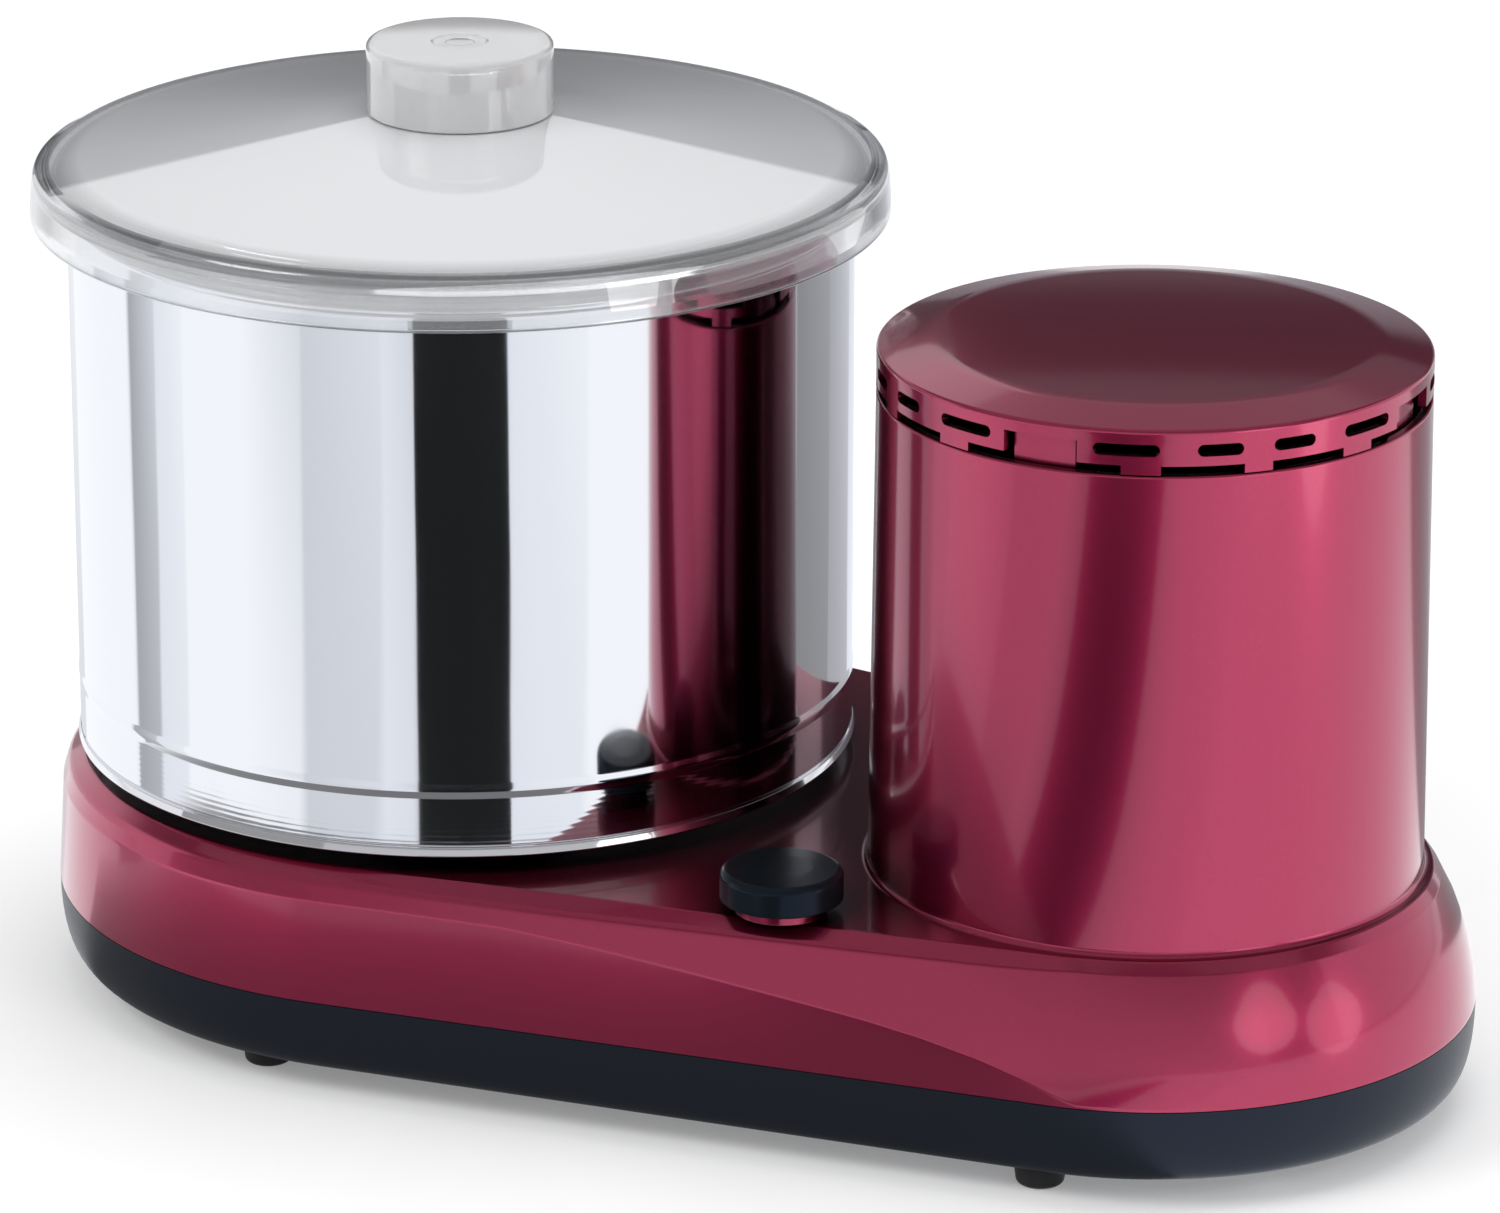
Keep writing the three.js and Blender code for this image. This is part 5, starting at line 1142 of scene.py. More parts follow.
class GRINDER_OT_motor_cover(bpy.types.Operator):
    """Builds the tower's cap, with its ring of vents, its sloped edge and its clips"""

    bl_idname = "grinder.motor_cover"
    bl_label = "Motor cover"

    # The band has four like quarters. These are degrees from a quarter's middle: the slots' middles and
    # widths, the notches' ends, and half of the window, the clip, the quarter and one step.
    SLOT_ANGLES = ((-37, 9.5), (-18, 13.5), (18, 13.5), (37, 9.5))
    NOTCH_ANGLES = ((-42, -25), (-17, 17), (25, 42))
    WINDOW_ANGLE = 8
    CLIP_ANGLE = 7
    QUARTER_ANGLE = 45
    STEP_ANGLE = 1.5
    SPARE_ANGLE = 0.01
    BAND_HEIGHT = 12.1 * MM
    BAND_DROP = 6 * MM  # from the top of the dome to the top of the upright band
    SLOT_DROP = 3 * MM
    SLOT_HEIGHT = 3.6 * MM
    NOTCH_HEIGHT = 2.7 * MM
    # Rows of points between the openings, above the band's foot, the notches and the slots
    ROWS_ABOVE = (1.4 * MM, 1.3 * MM, 1.5 * MM)
    SLOPE_FOOT = 1.1 * MM
    SLOPE_BEND = 1.2 * MM
    SLOPE_RISE = 4.4 * MM
    DISC_BEND = 30 * MM
    DOME_RISE = 1.2 * MM
    DOME_SHARE = 0.85
    DOME_STEPS = 12
    CLIP_GAP = 0.6 * MM
    CLIP_WALL = 2.3 * MM
    TAB_SINK = 0.8 * MM  # how deep the tab behind a window reaches into the band

    def execute(self, context):
        sizes = context.scene.grinder_sizes
        radius = COVER_HIGH.x - MOTOR_X
        arc = radius * math.radians(1)
        # The clips hang below the cap, so its band is measured down from its top.
        band_top = COVER_HIGH.z - self.BAND_DROP
        band_low = band_top - self.BAND_HEIGHT
        slot_top = band_top - self.SLOT_DROP
        slot_low = slot_top - self.SLOT_HEIGHT
        notch_top = band_low + self.NOTCH_HEIGHT
        path = [(-self.QUARTER_ANGLE, band_low)]
        for start, end in self.NOTCH_ANGLES:
            path += [(start, band_low), (start, notch_top)]
            if start < 0 < end:
                edge = self.WINDOW_ANGLE
                path += [(-edge, notch_top), (-edge, slot_top), (edge, slot_top), (edge, notch_top)]
            path += [(end, notch_top), (end, band_low)]
        corner = self.QUARTER_ANGLE
        path += [(corner, band_low), (corner, band_top), (-corner, band_top)]
        holes = []
        for angle, width in self.SLOT_ANGLES:
            bend = self.SLOT_HEIGHT / 2
            holes.append(slot((angle * arc, slot_low + bend), width * arc / 2 - bend, bend, arc))
        foot_row, notch_row, slot_row = self.ROWS_ABOVE
        last = round(self.QUARTER_ANGLE / self.STEP_ANGLE)
        extra = []
        slot_middle = (slot_low + slot_top) / 2
        for height in (band_low + foot_row, notch_top + notch_row, slot_middle, slot_top + slot_row):
            for i in range(1 - last, last):
                place = (i * self.STEP_ANGLE * arc, height)
                if not any(is_inside(place, hole) for hole in holes):
                    extra.append(place)
        places, faces = filled(self.stepped(path, arc), holes, extra)
        skin = Skin()
        turns = [quarter * TURN / 4 for quarter in range(4)]
        for turn in turns:

            def lay(along, height):
                angle = turn + along / radius
                return (MOTOR_X + radius * math.cos(angle), radius * math.sin(angle), height)

            skin.sheet(places, faces, lay)
        disc = sizes.cover_disc_radius
        disc_edge = band_top + self.SLOPE_RISE
        cap = [
            (radius, band_top, 0),
            (radius, band_top + self.SLOPE_FOOT, self.SLOPE_BEND),
            (disc, disc_edge, self.DISC_BEND),
        ]
        for step in range(self.DOME_STEPS, -1, -1):
            share = self.DOME_SHARE * step / self.DOME_STEPS
            cap.append((disc * share, disc_edge + self.DOME_RISE * (1 - share**2), 0))
        skin.turned(rounded(cap, closed=False), MOTOR_AXIS, TOWER_SIDES)
        skin.thicken(sizes.cover_wall)
        # Each clip is a little narrower than its window, which leaves a dark gap at both its sides.
        clip_out = radius - sizes.shell_wall - self.CLIP_GAP
        clip_in = clip_out - self.CLIP_WALL
        tab_out = radius - sizes.cover_wall + self.TAB_SINK
        reach = math.radians(self.CLIP_ANGLE)
        for turn in turns:
            for far, low in ((clip_out, COVER_LOW.z), (tab_out, slot_top)):
                skin.sector((clip_in, far), (low, band_top), MOTOR_AXIS, (turn - reach, turn + reach))
        skin.piece("tower_cap", "body_plastic", "housing", "motor_cover", sharp=40)
        return {"FINISHED"}

    def stepped(self, path, arc):
        """The outline's points, with steps along its level runs. Angles are turned to lengths."""
        points = []
        for (a, low), (b, high) in zip(path, path[1:] + path[:1]):
            points.append((a * arc, low))
            if low == high:
                first, last = sorted((a, b))
                count = math.ceil(first / self.STEP_ANGLE)
                inner = []
                while count * self.STEP_ANGLE < last - self.SPARE_ANGLE:
                    if count * self.STEP_ANGLE > first + self.SPARE_ANGLE:
                        inner.append((count * self.STEP_ANGLE * arc, low))
                    count += 1
                points += inner if a < b else inner[::-1]
        return points


class GRINDER_OT_base_tray(bpy.types.Operator):
    """Builds the black tray with its tucked-in edge, its screw holes and its air slots"""

    bl_idname = "grinder.base_tray"
    bl_label = "Base tray"

    DRUM_TUCK = 9.8 * MM  # how far the side tucks in at its foot, at the drum's end and the motor's
    MOTOR_TUCK = 7.5 * MM
    LEVEL_SHARES = (0, 0.003, 0.012, 0.03, 0.06, 0.1, 0.15, 0.21, 0.29, 0.38, 0.5, 0.64, 0.8, 1)
    PARTING_GAP = 0.3 * MM
    SCREW_HOLE = 4.4 * MM
    AIR_SLOTS = (-2, -1, 0, 1, 2)  # in pitches from the middle
    SLOT_PITCH = 10 * MM
    SLOT_HALF = 18 * MM
    SLOT_END = 2 * MM

    def execute(self, context):
        low = TRAY_LOW.z
        height = SHELL_LOW.z - self.PARTING_GAP - low
        rings = []
        for rise in self.LEVEL_SHARES:
            # A squared-off round: the side stands nearly upright and turns in fast at its foot.
            tuck = (1 - math.sqrt(rise)) ** 2
            ring = []
            for x, y, out_x, out_y, share in OUTLINE:
                depth = self.DRUM_TUCK + (self.MOTOR_TUCK - self.DRUM_TUCK) * min(max(share, 0), 1)
                ring.append((x - out_x * depth * tuck, y - out_y * depth * tuck, low + rise * height))
            rings.append(ring)
        holes = [
            slot((MOTOR_X, place * self.SLOT_PITCH), self.SLOT_HALF, self.SLOT_END)
            for place in self.AIR_SLOTS
        ]
        screws = [name for name in frame["nodes"] if name.startswith("tray_screw_")]
        holes += [circle(middle(name), self.SCREW_HOLE, TINY_SIDES) for name in sorted(screws)]
        skin = Skin()
        skin.strip(rings)
        skin.flat([point[:2] for point in rings[0]], holes, low)
        skin.thicken(context.scene.grinder_sizes.tray_wall)
        skin.piece("tray_moulding", "tray_plastic", "housing", "base_tray", sharp=40)
        return {"FINISHED"}


class GRINDER_OT_feet(bpy.types.Operator):
    """Builds the four rubber feet, each with a hollow tread and a stem in the tray"""

    bl_idname = "grinder.feet"
    bl_label = "Feet"

    # Shares of the foot's radius
    HOLLOW_SHARE = 0.62
    LIP_SHARE = 0.66
    TREAD_SHARE = 0.88
    SIDE_SHARE = 0.97
    STEM_SHARE = 0.4
    HOLLOW_DEPTH = 0.5 * MM
    SIDE_HEIGHT = 5.4 * MM
    SIDE_BEND = 2 * MM
    TRAY_GAP = 0.2 * MM

    def execute(self, context):
        seat = TRAY_LOW.z - self.TRAY_GAP
        for place in ("front_left", "front_right", "rear_left", "rear_right"):
            low, high = corners(f"foot_{place}")
            radius = (high.x - low.x) / 2
            profile = [
                (0, low.z, 0),
                (radius * self.HOLLOW_SHARE, low.z + self.HOLLOW_DEPTH, FULL_EDGE),
                (radius * self.LIP_SHARE, low.z, NEAT_EDGE),
                (radius * self.TREAD_SHARE, low.z, self.SIDE_BEND),
                (radius * self.SIDE_SHARE, low.z + self.SIDE_HEIGHT, self.SIDE_BEND),
                (radius, seat, 0),
                (radius * self.STEM_SHARE, seat, 0),
                (radius * self.STEM_SHARE, high.z, SMALL_EDGE),
                (0, high.z, 0),
            ]
            foot = lathe(profile, middle(f"foot_{place}"), TINY_SIDES, closed=False)
            foot.piece(f"rubber_foot_{place}", "foot_rubber", "housing", f"foot_{place}")
        return {"FINISHED"}


class GRINDER_OT_switch_button(bpy.types.Operator):
    """Builds the round push button, with its low dome and its stem"""

    bl_idname = "grinder.switch_button"
    bl_label = "Push button"

    STEM_RADIUS = 9 * MM
    RIM_HEIGHT = 9.7 * MM
    RIM_WALL = 2.8 * MM
    RIM_DROP = 0.5 * MM  # how much lower the dome is at the rim, and half way out
    HALF_DROP = 0.1 * MM
    RIM_BEND = 2.4 * MM
    DOME_BEND = 30 * MM
    TOP_WALL = 3.6 * MM

    def execute(self, context):
        radius = (BUTTON_HIGH.x - BUTTON_LOW.x) / 2
        top = BUTTON_HIGH.z
        low = top - self.RIM_HEIGHT
        ceiling = top - self.TOP_WALL
        profile = [
            (0, BUTTON_LOW.z, 0),
            (self.STEM_RADIUS, BUTTON_LOW.z, SOFT_EDGE),
            (self.STEM_RADIUS, ceiling, SMALL_EDGE),
            (radius - self.RIM_WALL, ceiling, SMALL_EDGE),
            (radius - self.RIM_WALL, low, SMALL_EDGE),
            (radius, low, SOFT_EDGE),
            (radius, top - self.RIM_DROP, self.RIM_BEND),
            (radius / 2, top - self.HALF_DROP, self.DOME_BEND),
            (0, top, 0),
        ]
        button = lathe(profile, middle("switch_button"), SMALL_SIDES, closed=False, steps=7)
        button.piece("push_button", "button_plastic", "button", "switch_button")
        return {"FINISHED"}


# Drum and lid


class GRINDER_OT_drum(bpy.types.Operator):
    """Builds the polished drum, with its foot ring, its bead and its rolled rim"""

    bl_idname = "grinder.drum"
    bl_label = "Drum"

    RIM_OUT = 2.4 * MM  # from the wall out to the rolled rim
    RIM_HEIGHT = 3.6 * MM
    RIM_BEND = 1.7 * MM
    MOUTH_BEND = 0.7 * MM
    RING_OUT = 0.8 * MM  # from the wall out to the foot ring
    RING_FOOT = 0.5 * MM
    RING_LEAN = 0.65 * MM
    RING_HEIGHT = 2.4 * MM
    GROOVE_DEPTH = 0.6 * MM
    GROOVE_BEND = 0.15 * MM
    GROOVE_LOW = 0.5 * MM  # the groove's height, upright and then sloped
    GROOVE_HIGH = 1.2 * MM
    BEAD_PLACE = 20.8 * MM
    BEAD_HALF = 2.4 * MM
    BEAD_OUT = 0.28 * MM
    BEAD_BEND = 6 * MM
    FLOOR_PLACE = 9.4 * MM
    FLOOR_BEND = 3 * MM
    HOLE = 10.5 * MM

    def execute(self, context):
        wall = context.scene.grinder_sizes.drum_wall
        low, high = DRUM_LOW.z, DRUM_HIGH.z
        rim = DRUM_HIGH.x - DRUM_X
        out = rim - self.RIM_OUT
        inside = out - wall
        ring = out + self.RING_OUT
        ring_top = low + self.RING_HEIGHT
        groove = out - self.GROOVE_DEPTH
        bead = low + self.BEAD_PLACE
        floor = low + self.FLOOR_PLACE
        profile = [
            (inside, low, FINE_EDGE),
            (ring, low, NEAT_EDGE),
            (ring, low + self.RING_FOOT, NEAT_EDGE),
            (ring - self.RING_LEAN, ring_top, FINE_EDGE),
            (groove, ring_top, self.GROOVE_BEND),
            (groove, ring_top + self.GROOVE_LOW, self.GROOVE_BEND),
            (out, ring_top + self.GROOVE_HIGH, SMALL_EDGE),
            (out, bead - self.BEAD_HALF, self.BEAD_BEND),
            (out + self.BEAD_OUT, bead, self.BEAD_BEND),
            (out, bead + self.BEAD_HALF, self.BEAD_BEND),
            (out, high - self.RIM_HEIGHT, MOULDED_EDGE),
            (rim, high - self.RIM_HEIGHT, self.RIM_BEND),
            (rim, high, self.RIM_BEND),
            (inside, high, self.MOUTH_BEND),
            (inside, floor + wall, self.FLOOR_BEND),
            (self.HOLE, floor + wall, FINE_EDGE),
            (self.HOLE, floor, FINE_EDGE),
            (inside, floor, self.FLOOR_BEND),
        ]
        drum = lathe(profile, DRUM_AXIS, DRUM_SIDES, steps=6)
        drum.piece("steel_drum", "drum_steel", "drum", "drum_shell", sharp=60)
        return {"FINISHED"}


class GRINDER_OT_drum_tube(bpy.types.Operator):
    """Builds the flanged tube that stands in the middle of the drum"""

    bl_idname = "grinder.drum_tube"
    bl_label = "Drum tube"

    BORE = 9.5 * MM
    RADIUS = 12 * MM
    FLANGE_RADIUS = 20 * MM
    FLANGE_WALL = 1.5 * MM
    FLANGE_BEND = 2.5 * MM

    def execute(self, context):
        low, high = corners("drum_tube")
        flange_top = low.z + self.FLANGE_WALL
        profile = [
            (self.BORE, low.z, HAIR_EDGE),
            (self.FLANGE_RADIUS, low.z, FINE_EDGE),
            (self.FLANGE_RADIUS, flange_top, SMALL_EDGE),
            (self.RADIUS, flange_top, self.FLANGE_BEND),
            (self.RADIUS, high.z, MOULDED_EDGE),
            (self.BORE, high.z, MOULDED_EDGE),
        ]
        tube = lathe(profile, DRUM_AXIS, SMALL_SIDES)
        tube.piece("centre_tube", "drum_steel", "drum", "drum_tube", finish_name="frame_steel")
        return {"FINISHED"}


class GRINDER_OT_floor_stone(bpy.types.Operator):
    """Builds the granite stone on the drum's floor"""

    bl_idname = "grinder.floor_stone"
    bl_label = "Floor stone"

    HOLE = 21 * MM
    CHAMFER = 3.5 * MM

    def execute(self, context):
        radius = STONE_HIGH.x - DRUM_X
        low, high = STONE_LOW.z, STONE_HIGH.z
        profile = [
            (self.HOLE, low, SMALL_EDGE),
            (radius - self.CHAMFER, low, SMALL_EDGE),
            (radius, low + self.CHAMFER, FULL_EDGE),
            (radius, high, WIDE_EDGE),
            (self.HOLE, high, FULL_EDGE),
        ]
        lathe(profile, DRUM_AXIS, DRUM_SIDES).piece("floor_stone", "granite", "drum", "base_stone")
        return {"FINISHED"}


class GRINDER_OT_lid(bpy.types.Operator):
    """Builds the clear lid, with its stepped rim, its skirt and the rib that centres it in the drum"""

    bl_idname = "grinder.lid"
    bl_label = "Lid"

    SEAT_GAP = 0.3 * MM
    SEAT_OUT = 2 * MM  # from the drum's rim out to the skirt's inner face
    SLOPE_FOOT = 11 * MM  # heights above the seat: where the plate's slope ends, and the skirt's top
    SKIRT_TOP = 7.5 * MM
    SLOPE_INSET = 6 * MM
    SLOPE_BEND = 4 * MM
    STEP_INSET = 0.8 * MM
    STEP_RISE = 1.2 * MM
    STEP_BEND = 3 * MM
    SKIRT_BEND = 4 * MM
    RIB_OUT = 117.6 * MM
    RIB_IN = 115.1 * MM
    RIB_DEPTH = 4.5 * MM

    def execute(self, context):
        wall = context.scene.grinder_sizes.lid_wall
        out = LID_HIGH.x - DRUM_X
        low, top = LID_LOW.z, LID_HIGH.z
        knob_out = (KNOB_HIGH.x - KNOB_LOW.x) / 2
        seat = DRUM_HIGH.z + self.SEAT_GAP
        seat_out = DRUM_HIGH.x - DRUM_X + self.SEAT_OUT
        edge = out - self.SLOPE_INSET
        edge_z = seat + self.SLOPE_FOOT
        skirt_top = seat + self.SKIRT_TOP
        slope = (top - edge_z) / (edge - knob_out)
        rib_low = seat - self.RIB_DEPTH
        profile = [
            (KNOB_SCREW_HOLE, top, HAIR_EDGE),
            (knob_out, top, self.SLOPE_BEND),
            (edge, edge_z, SOFT_EDGE),
            (out - self.STEP_INSET, skirt_top + self.STEP_RISE, self.STEP_BEND),
            (out, low + self.SKIRT_BEND, self.SKIRT_BEND),
            (out, low, FULL_EDGE),
            (out - wall, low, FULL_EDGE),
            (out - wall, skirt_top - wall, FULL_EDGE),
            (seat_out, edge_z - wall, MOULDED_EDGE),
            (seat_out, seat, NEAT_EDGE),
            (self.RIB_OUT, seat, NEAT_EDGE),
            (self.RIB_OUT, rib_low, MOULDED_EDGE),
            (self.RIB_IN, rib_low, MOULDED_EDGE),
            (self.RIB_IN, edge_z - wall + slope * (edge - self.RIB_IN), FULL_EDGE),
            (knob_out, top - wall, self.SLOPE_BEND),
            (KNOB_SCREW_HOLE, top - wall, HAIR_EDGE),
        ]
        lid = lathe(profile, DRUM_AXIS, DRUM_SIDES, steps=6)
        lid.piece("clear_lid", "clear_plastic", "lid", "lid_cover", sharp=60)
        return {"FINISHED"}


class GRINDER_OT_lid_knob(bpy.types.Operator):
    """Builds the lid's hollow knob, with the post for its screw and the small dish in its top"""

    bl_idname = "grinder.lid_knob"
    bl_label = "Lid knob"

    TOP_WALL = 3.2 * MM
    POST_RADIUS = 6.5 * MM
    CEILING_BEND = 2 * MM
    SCREW_DEPTH = 12.3 * MM
    # The dish in the top, and the raised disc inside it
    DISH_EDGE = 8.6 * MM
    DISH_FOOT = 8 * MM
    DISH_DEPTH = 0.7 * MM
    DISC_FOOT = 4.5 * MM
    DISC_EDGE = 4.1 * MM
    DISC_EDGE_DEPTH = 0.4 * MM
    DISC_DEPTH = 0.3 * MM

    def execute(self, context):
        sizes = context.scene.grinder_sizes
        out = (KNOB_HIGH.x - KNOB_LOW.x) / 2
        inside = out - sizes.lid_wall
        low, top = KNOB_LOW.z, KNOB_HIGH.z
        ceiling = top - self.TOP_WALL
        bore = low + self.SCREW_DEPTH
        dish = top - self.DISH_DEPTH
        profile = [
            (0, bore, 0),
            (KNOB_SCREW_HOLE, bore, NEAT_EDGE),
            (KNOB_SCREW_HOLE, low, FINE_EDGE),
            (self.POST_RADIUS, low, SMALL_EDGE),
            (self.POST_RADIUS, ceiling, FULL_EDGE),
            (inside, ceiling, self.CEILING_BEND),
            (inside, low, SOFT_EDGE),
            (out, low, SOFT_EDGE),
            (out, top, sizes.knob_round),
            (self.DISH_EDGE, top, SOFT_EDGE),
            (self.DISH_FOOT, dish, SMALL_EDGE),
            (self.DISC_FOOT, dish, NEAT_EDGE),
            (self.DISC_EDGE, top - self.DISC_EDGE_DEPTH, NEAT_EDGE),
            (0, top - self.DISC_DEPTH, 0),
        ]
        knob = lathe(profile, DRUM_AXIS, SMALL_SIDES, closed=False, steps=6)
        knob.piece("clear_knob", "clear_plastic", "lid", "lid_knob", sharp=60, finish_name="knob_plastic")
        return {"FINISHED"}


# Grinding parts

ROLLER_TILT = math.radians(20)  # half of a cone stone's angle, and how far its axis tips up
ROLLER_GAP = 0.3 * MM  # from the floor stone up to the cones' common tip
ROLLER_SIDES = {"a": 0, "b": math.pi}  # each cone's direction round the drum's axis


def along_roller(skin, side):
    """Lays a skin that stands on Z along a cone stone's axis."""
    matrix = (
        Matrix.Translation((DRUM_X, 0, 0))
        @ Matrix.Rotation(ROLLER_SIDES[side], 4, "Z")
        @ Matrix.Translation((0, 0, STONE_HIGH.z + ROLLER_GAP))
        @ Matrix.Rotation(math.pi / 2 - ROLLER_TILT, 4, "Y")
    )
    return skin.moved(matrix)


class GRINDER_OT_cone_stones(bpy.types.Operator):
    """Builds the two cone stones that roll on the floor stone"""

    bl_idname = "grinder.cone_stones"
    bl_label = "Cone stones"

    BORE = 8 * MM
    NEAR = 34 * MM  # from the cones' common tip along their axis
    FAR = 95 * MM
    RIM = 2 * MM
    RIM_BEND = 1.5 * MM

    def execute(self, context):
        spread = math.tan(ROLLER_TILT)
        wide = (self.FAR - self.RIM) * spread
        profile = [
            (self.BORE, self.NEAR, NEAT_EDGE),
            (self.NEAR * spread, self.NEAR, MOULDED_EDGE),
            (wide, self.FAR - self.RIM, self.RIM_BEND),
            (wide - self.RIM, self.FAR, FULL_EDGE),
            (self.BORE, self.FAR, NEAT_EDGE),
        ]
        for side in ROLLER_SIDES:
            cone = along_roller(lathe(profile, (0, 0), SMALL_SIDES), side)
            cone.piece(f"cone_stone_{side}", "granite", f"roller_{side}", f"roller_stone_{side}")
        return {"FINISHED"}


class GRINDER_OT_frame_sleeve(bpy.types.Operator):
    """Builds the roller frame's sleeve, which stands on the fixed post"""

    bl_idname = "grinder.frame_sleeve"
    bl_label = "Frame sleeve"

    BORE = 13 * MM
    RADIUS = 17 * MM
    COLLAR_RADIUS = 24 * MM
    COLLAR_HEIGHT = 4 * MM
    HEAD_HEIGHT = 4 * MM
    POST_HOLE = 6.3 * MM

    def execute(self, context):
        low, high = corners("hub_sleeve")
        seat = high.z - self.HEAD_HEIGHT
        collar_low = seat - self.COLLAR_HEIGHT
        profile = [
            (self.BORE, low.z, FINE_EDGE),
            (self.RADIUS, low.z, SOFT_EDGE),
            (self.RADIUS, collar_low, MOULDED_EDGE),
            (self.COLLAR_RADIUS, collar_low, FULL_EDGE),
            (self.COLLAR_RADIUS, seat, FULL_EDGE),
            (self.RADIUS, seat, MOULDED_EDGE),
            (self.RADIUS, high.z, MOULDED_EDGE),
            (self.POST_HOLE, high.z, SMALL_EDGE),
            (self.POST_HOLE, seat, HAIR_EDGE),
            (self.BORE, seat, FINE_EDGE),
        ]
        sleeve = lathe(profile, DRUM_AXIS, SMALL_SIDES)
        sleeve.piece("frame_sleeve", "frame_steel", "roller_hub", "hub_sleeve")
        return {"FINISHED"}


class GRINDER_OT_frame_yoke(bpy.types.Operator):
    """Builds the yoke that slides on the sleeve, with a boss for each cone stone's pin"""

    bl_idname = "grinder.frame_yoke"
    bl_label = "Frame yoke"

    BORE = 17.3 * MM
    RADIUS = 23 * MM
    HEIGHT = 26 * MM
    ARM_HEIGHT = 2.8 * MM  # the scraper's arm on top of the yoke
    BOSS_BORE = 4.3 * MM
    BOSS_RADIUS = 7 * MM
    BOSS_NEAR = 22.5 * MM
    BOSS_FAR = 32.5 * MM

    def execute(self, context):
        top = corners("scraper_arm")[1].z - self.ARM_HEIGHT
        low = top - self.HEIGHT
        profile = [
            (self.BORE, low, NEAT_EDGE),
            (self.RADIUS, low, WIDE_EDGE),
            (self.RADIUS, top, WIDE_EDGE),
            (self.BORE, top, NEAT_EDGE),
        ]
        boss = [
            (self.BOSS_BORE, self.BOSS_NEAR, HAIR_EDGE),
            (self.BOSS_RADIUS, self.BOSS_NEAR, HAIR_EDGE),
            (self.BOSS_RADIUS, self.BOSS_FAR, MOULDED_EDGE),
            (self.BOSS_BORE, self.BOSS_FAR, NEAT_EDGE),
        ]
        yoke = lathe(profile, DRUM_AXIS, SMALL_SIDES)
        for side in ROLLER_SIDES:
            yoke.join(along_roller(lathe(boss, (0, 0), TINY_SIDES), side))
        yoke.piece("frame_yoke", "frame_steel", "yoke", "roller_yoke")
        return {"FINISHED"}


class GRINDER_OT_frame_spring(bpy.types.Operator):
    """Builds the round wire spring with closed ends, at one length; the real spring shortens as the frame
    floats up
    """

    bl_idname = "grinder.frame_spring"
    bl_label = "Frame spring"

    COILS = 5
    WIRE = 1.2 * MM
    WIRE_SIDES = 12
    FLOAT_TRAVEL = 4 * MM

    def execute(self, context):
        low, high = corners("tension_spring")
        coil = high.x - DRUM_X - self.WIRE
        length = high.z - low.z
        rings = []
        for i in range(self.COILS * TINY_SIDES + 1):
            angle = TURN * i / TINY_SIDES
            # The first and last half turns lie level.
            share = min(max((i / TINY_SIDES - 0.5) / (self.COILS - 1), 0), 1)
            height = low.z + self.WIRE + (length - 2 * self.WIRE) * share
            ring = circle((coil, height), self.WIRE, self.WIRE_SIDES)
            rings.append([(DRUM_X + x * math.cos(angle), x * math.sin(angle), z) for x, z in ring])
        spring = Skin()
        spring.bar(rings)
        piece = spring.piece("frame_spring", "turned_steel", "roller_hub", "tension_spring")
        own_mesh(piece)
        return {"FINISHED"}


class GRINDER_OT_lock_knob(bpy.types.Operator):
    """Builds the knob that locks the roller frame to the post, with its finger hollows"""

    bl_idname = "grinder.lock_knob"
    bl_label = "Lock knob"

    BORE = 4.8 * MM
    AXIS_RADIUS = 0.01 * MM  # as near the axis as the closed profile goes
    GRIP_RADIUS = 16 * MM
    GRIP_HEIGHT = 13 * MM
    TOP_RADIUS = 13 * MM
    TOP_WALL = 6 * MM
    BEND = 2.5 * MM
    HOLLOWS = 6
    HOLLOW_DEPTH = 2.2 * MM
    HOLLOW_START = 8 * MM  # the radius where the hollows start, and how far out they are full
    HOLLOW_BLEND = 5 * MM

    def execute(self, context):
        low, high = corners("lock_knob")
        ceiling = high.z - self.TOP_WALL
        profile = [
            (self.BORE, low.z, FINE_EDGE),
            (self.GRIP_RADIUS, low.z, FULL_EDGE),
            (self.GRIP_RADIUS, low.z + self.GRIP_HEIGHT, self.BEND),
            (self.TOP_RADIUS, high.z, self.BEND),
            (self.AXIS_RADIUS, high.z, 0),
            (self.AXIS_RADIUS, ceiling, 0),
            (self.BORE, ceiling, SMALL_EDGE),
        ]
        sides = 2 * SMALL_SIDES
        rings = []
        for radius, height in rounded(profile):
            depth = self.HOLLOW_DEPTH * min(max((radius - self.HOLLOW_START) / self.HOLLOW_BLEND, 0), 1)
            ring = []
            for i in range(sides):
                angle = TURN * i / sides
                reach = radius - depth * max(0, math.cos(self.HOLLOWS * angle)) ** 2
                ring.append((DRUM_X + reach * math.cos(angle), reach * math.sin(angle), height))
            rings.append(ring)
        knob = Skin()
        knob.strip(rings, closed=True)
        knob.piece("frame_lock_knob", "inner_plastic", "knob", "lock_knob")
        return {"FINISHED"}


# Drive and cord


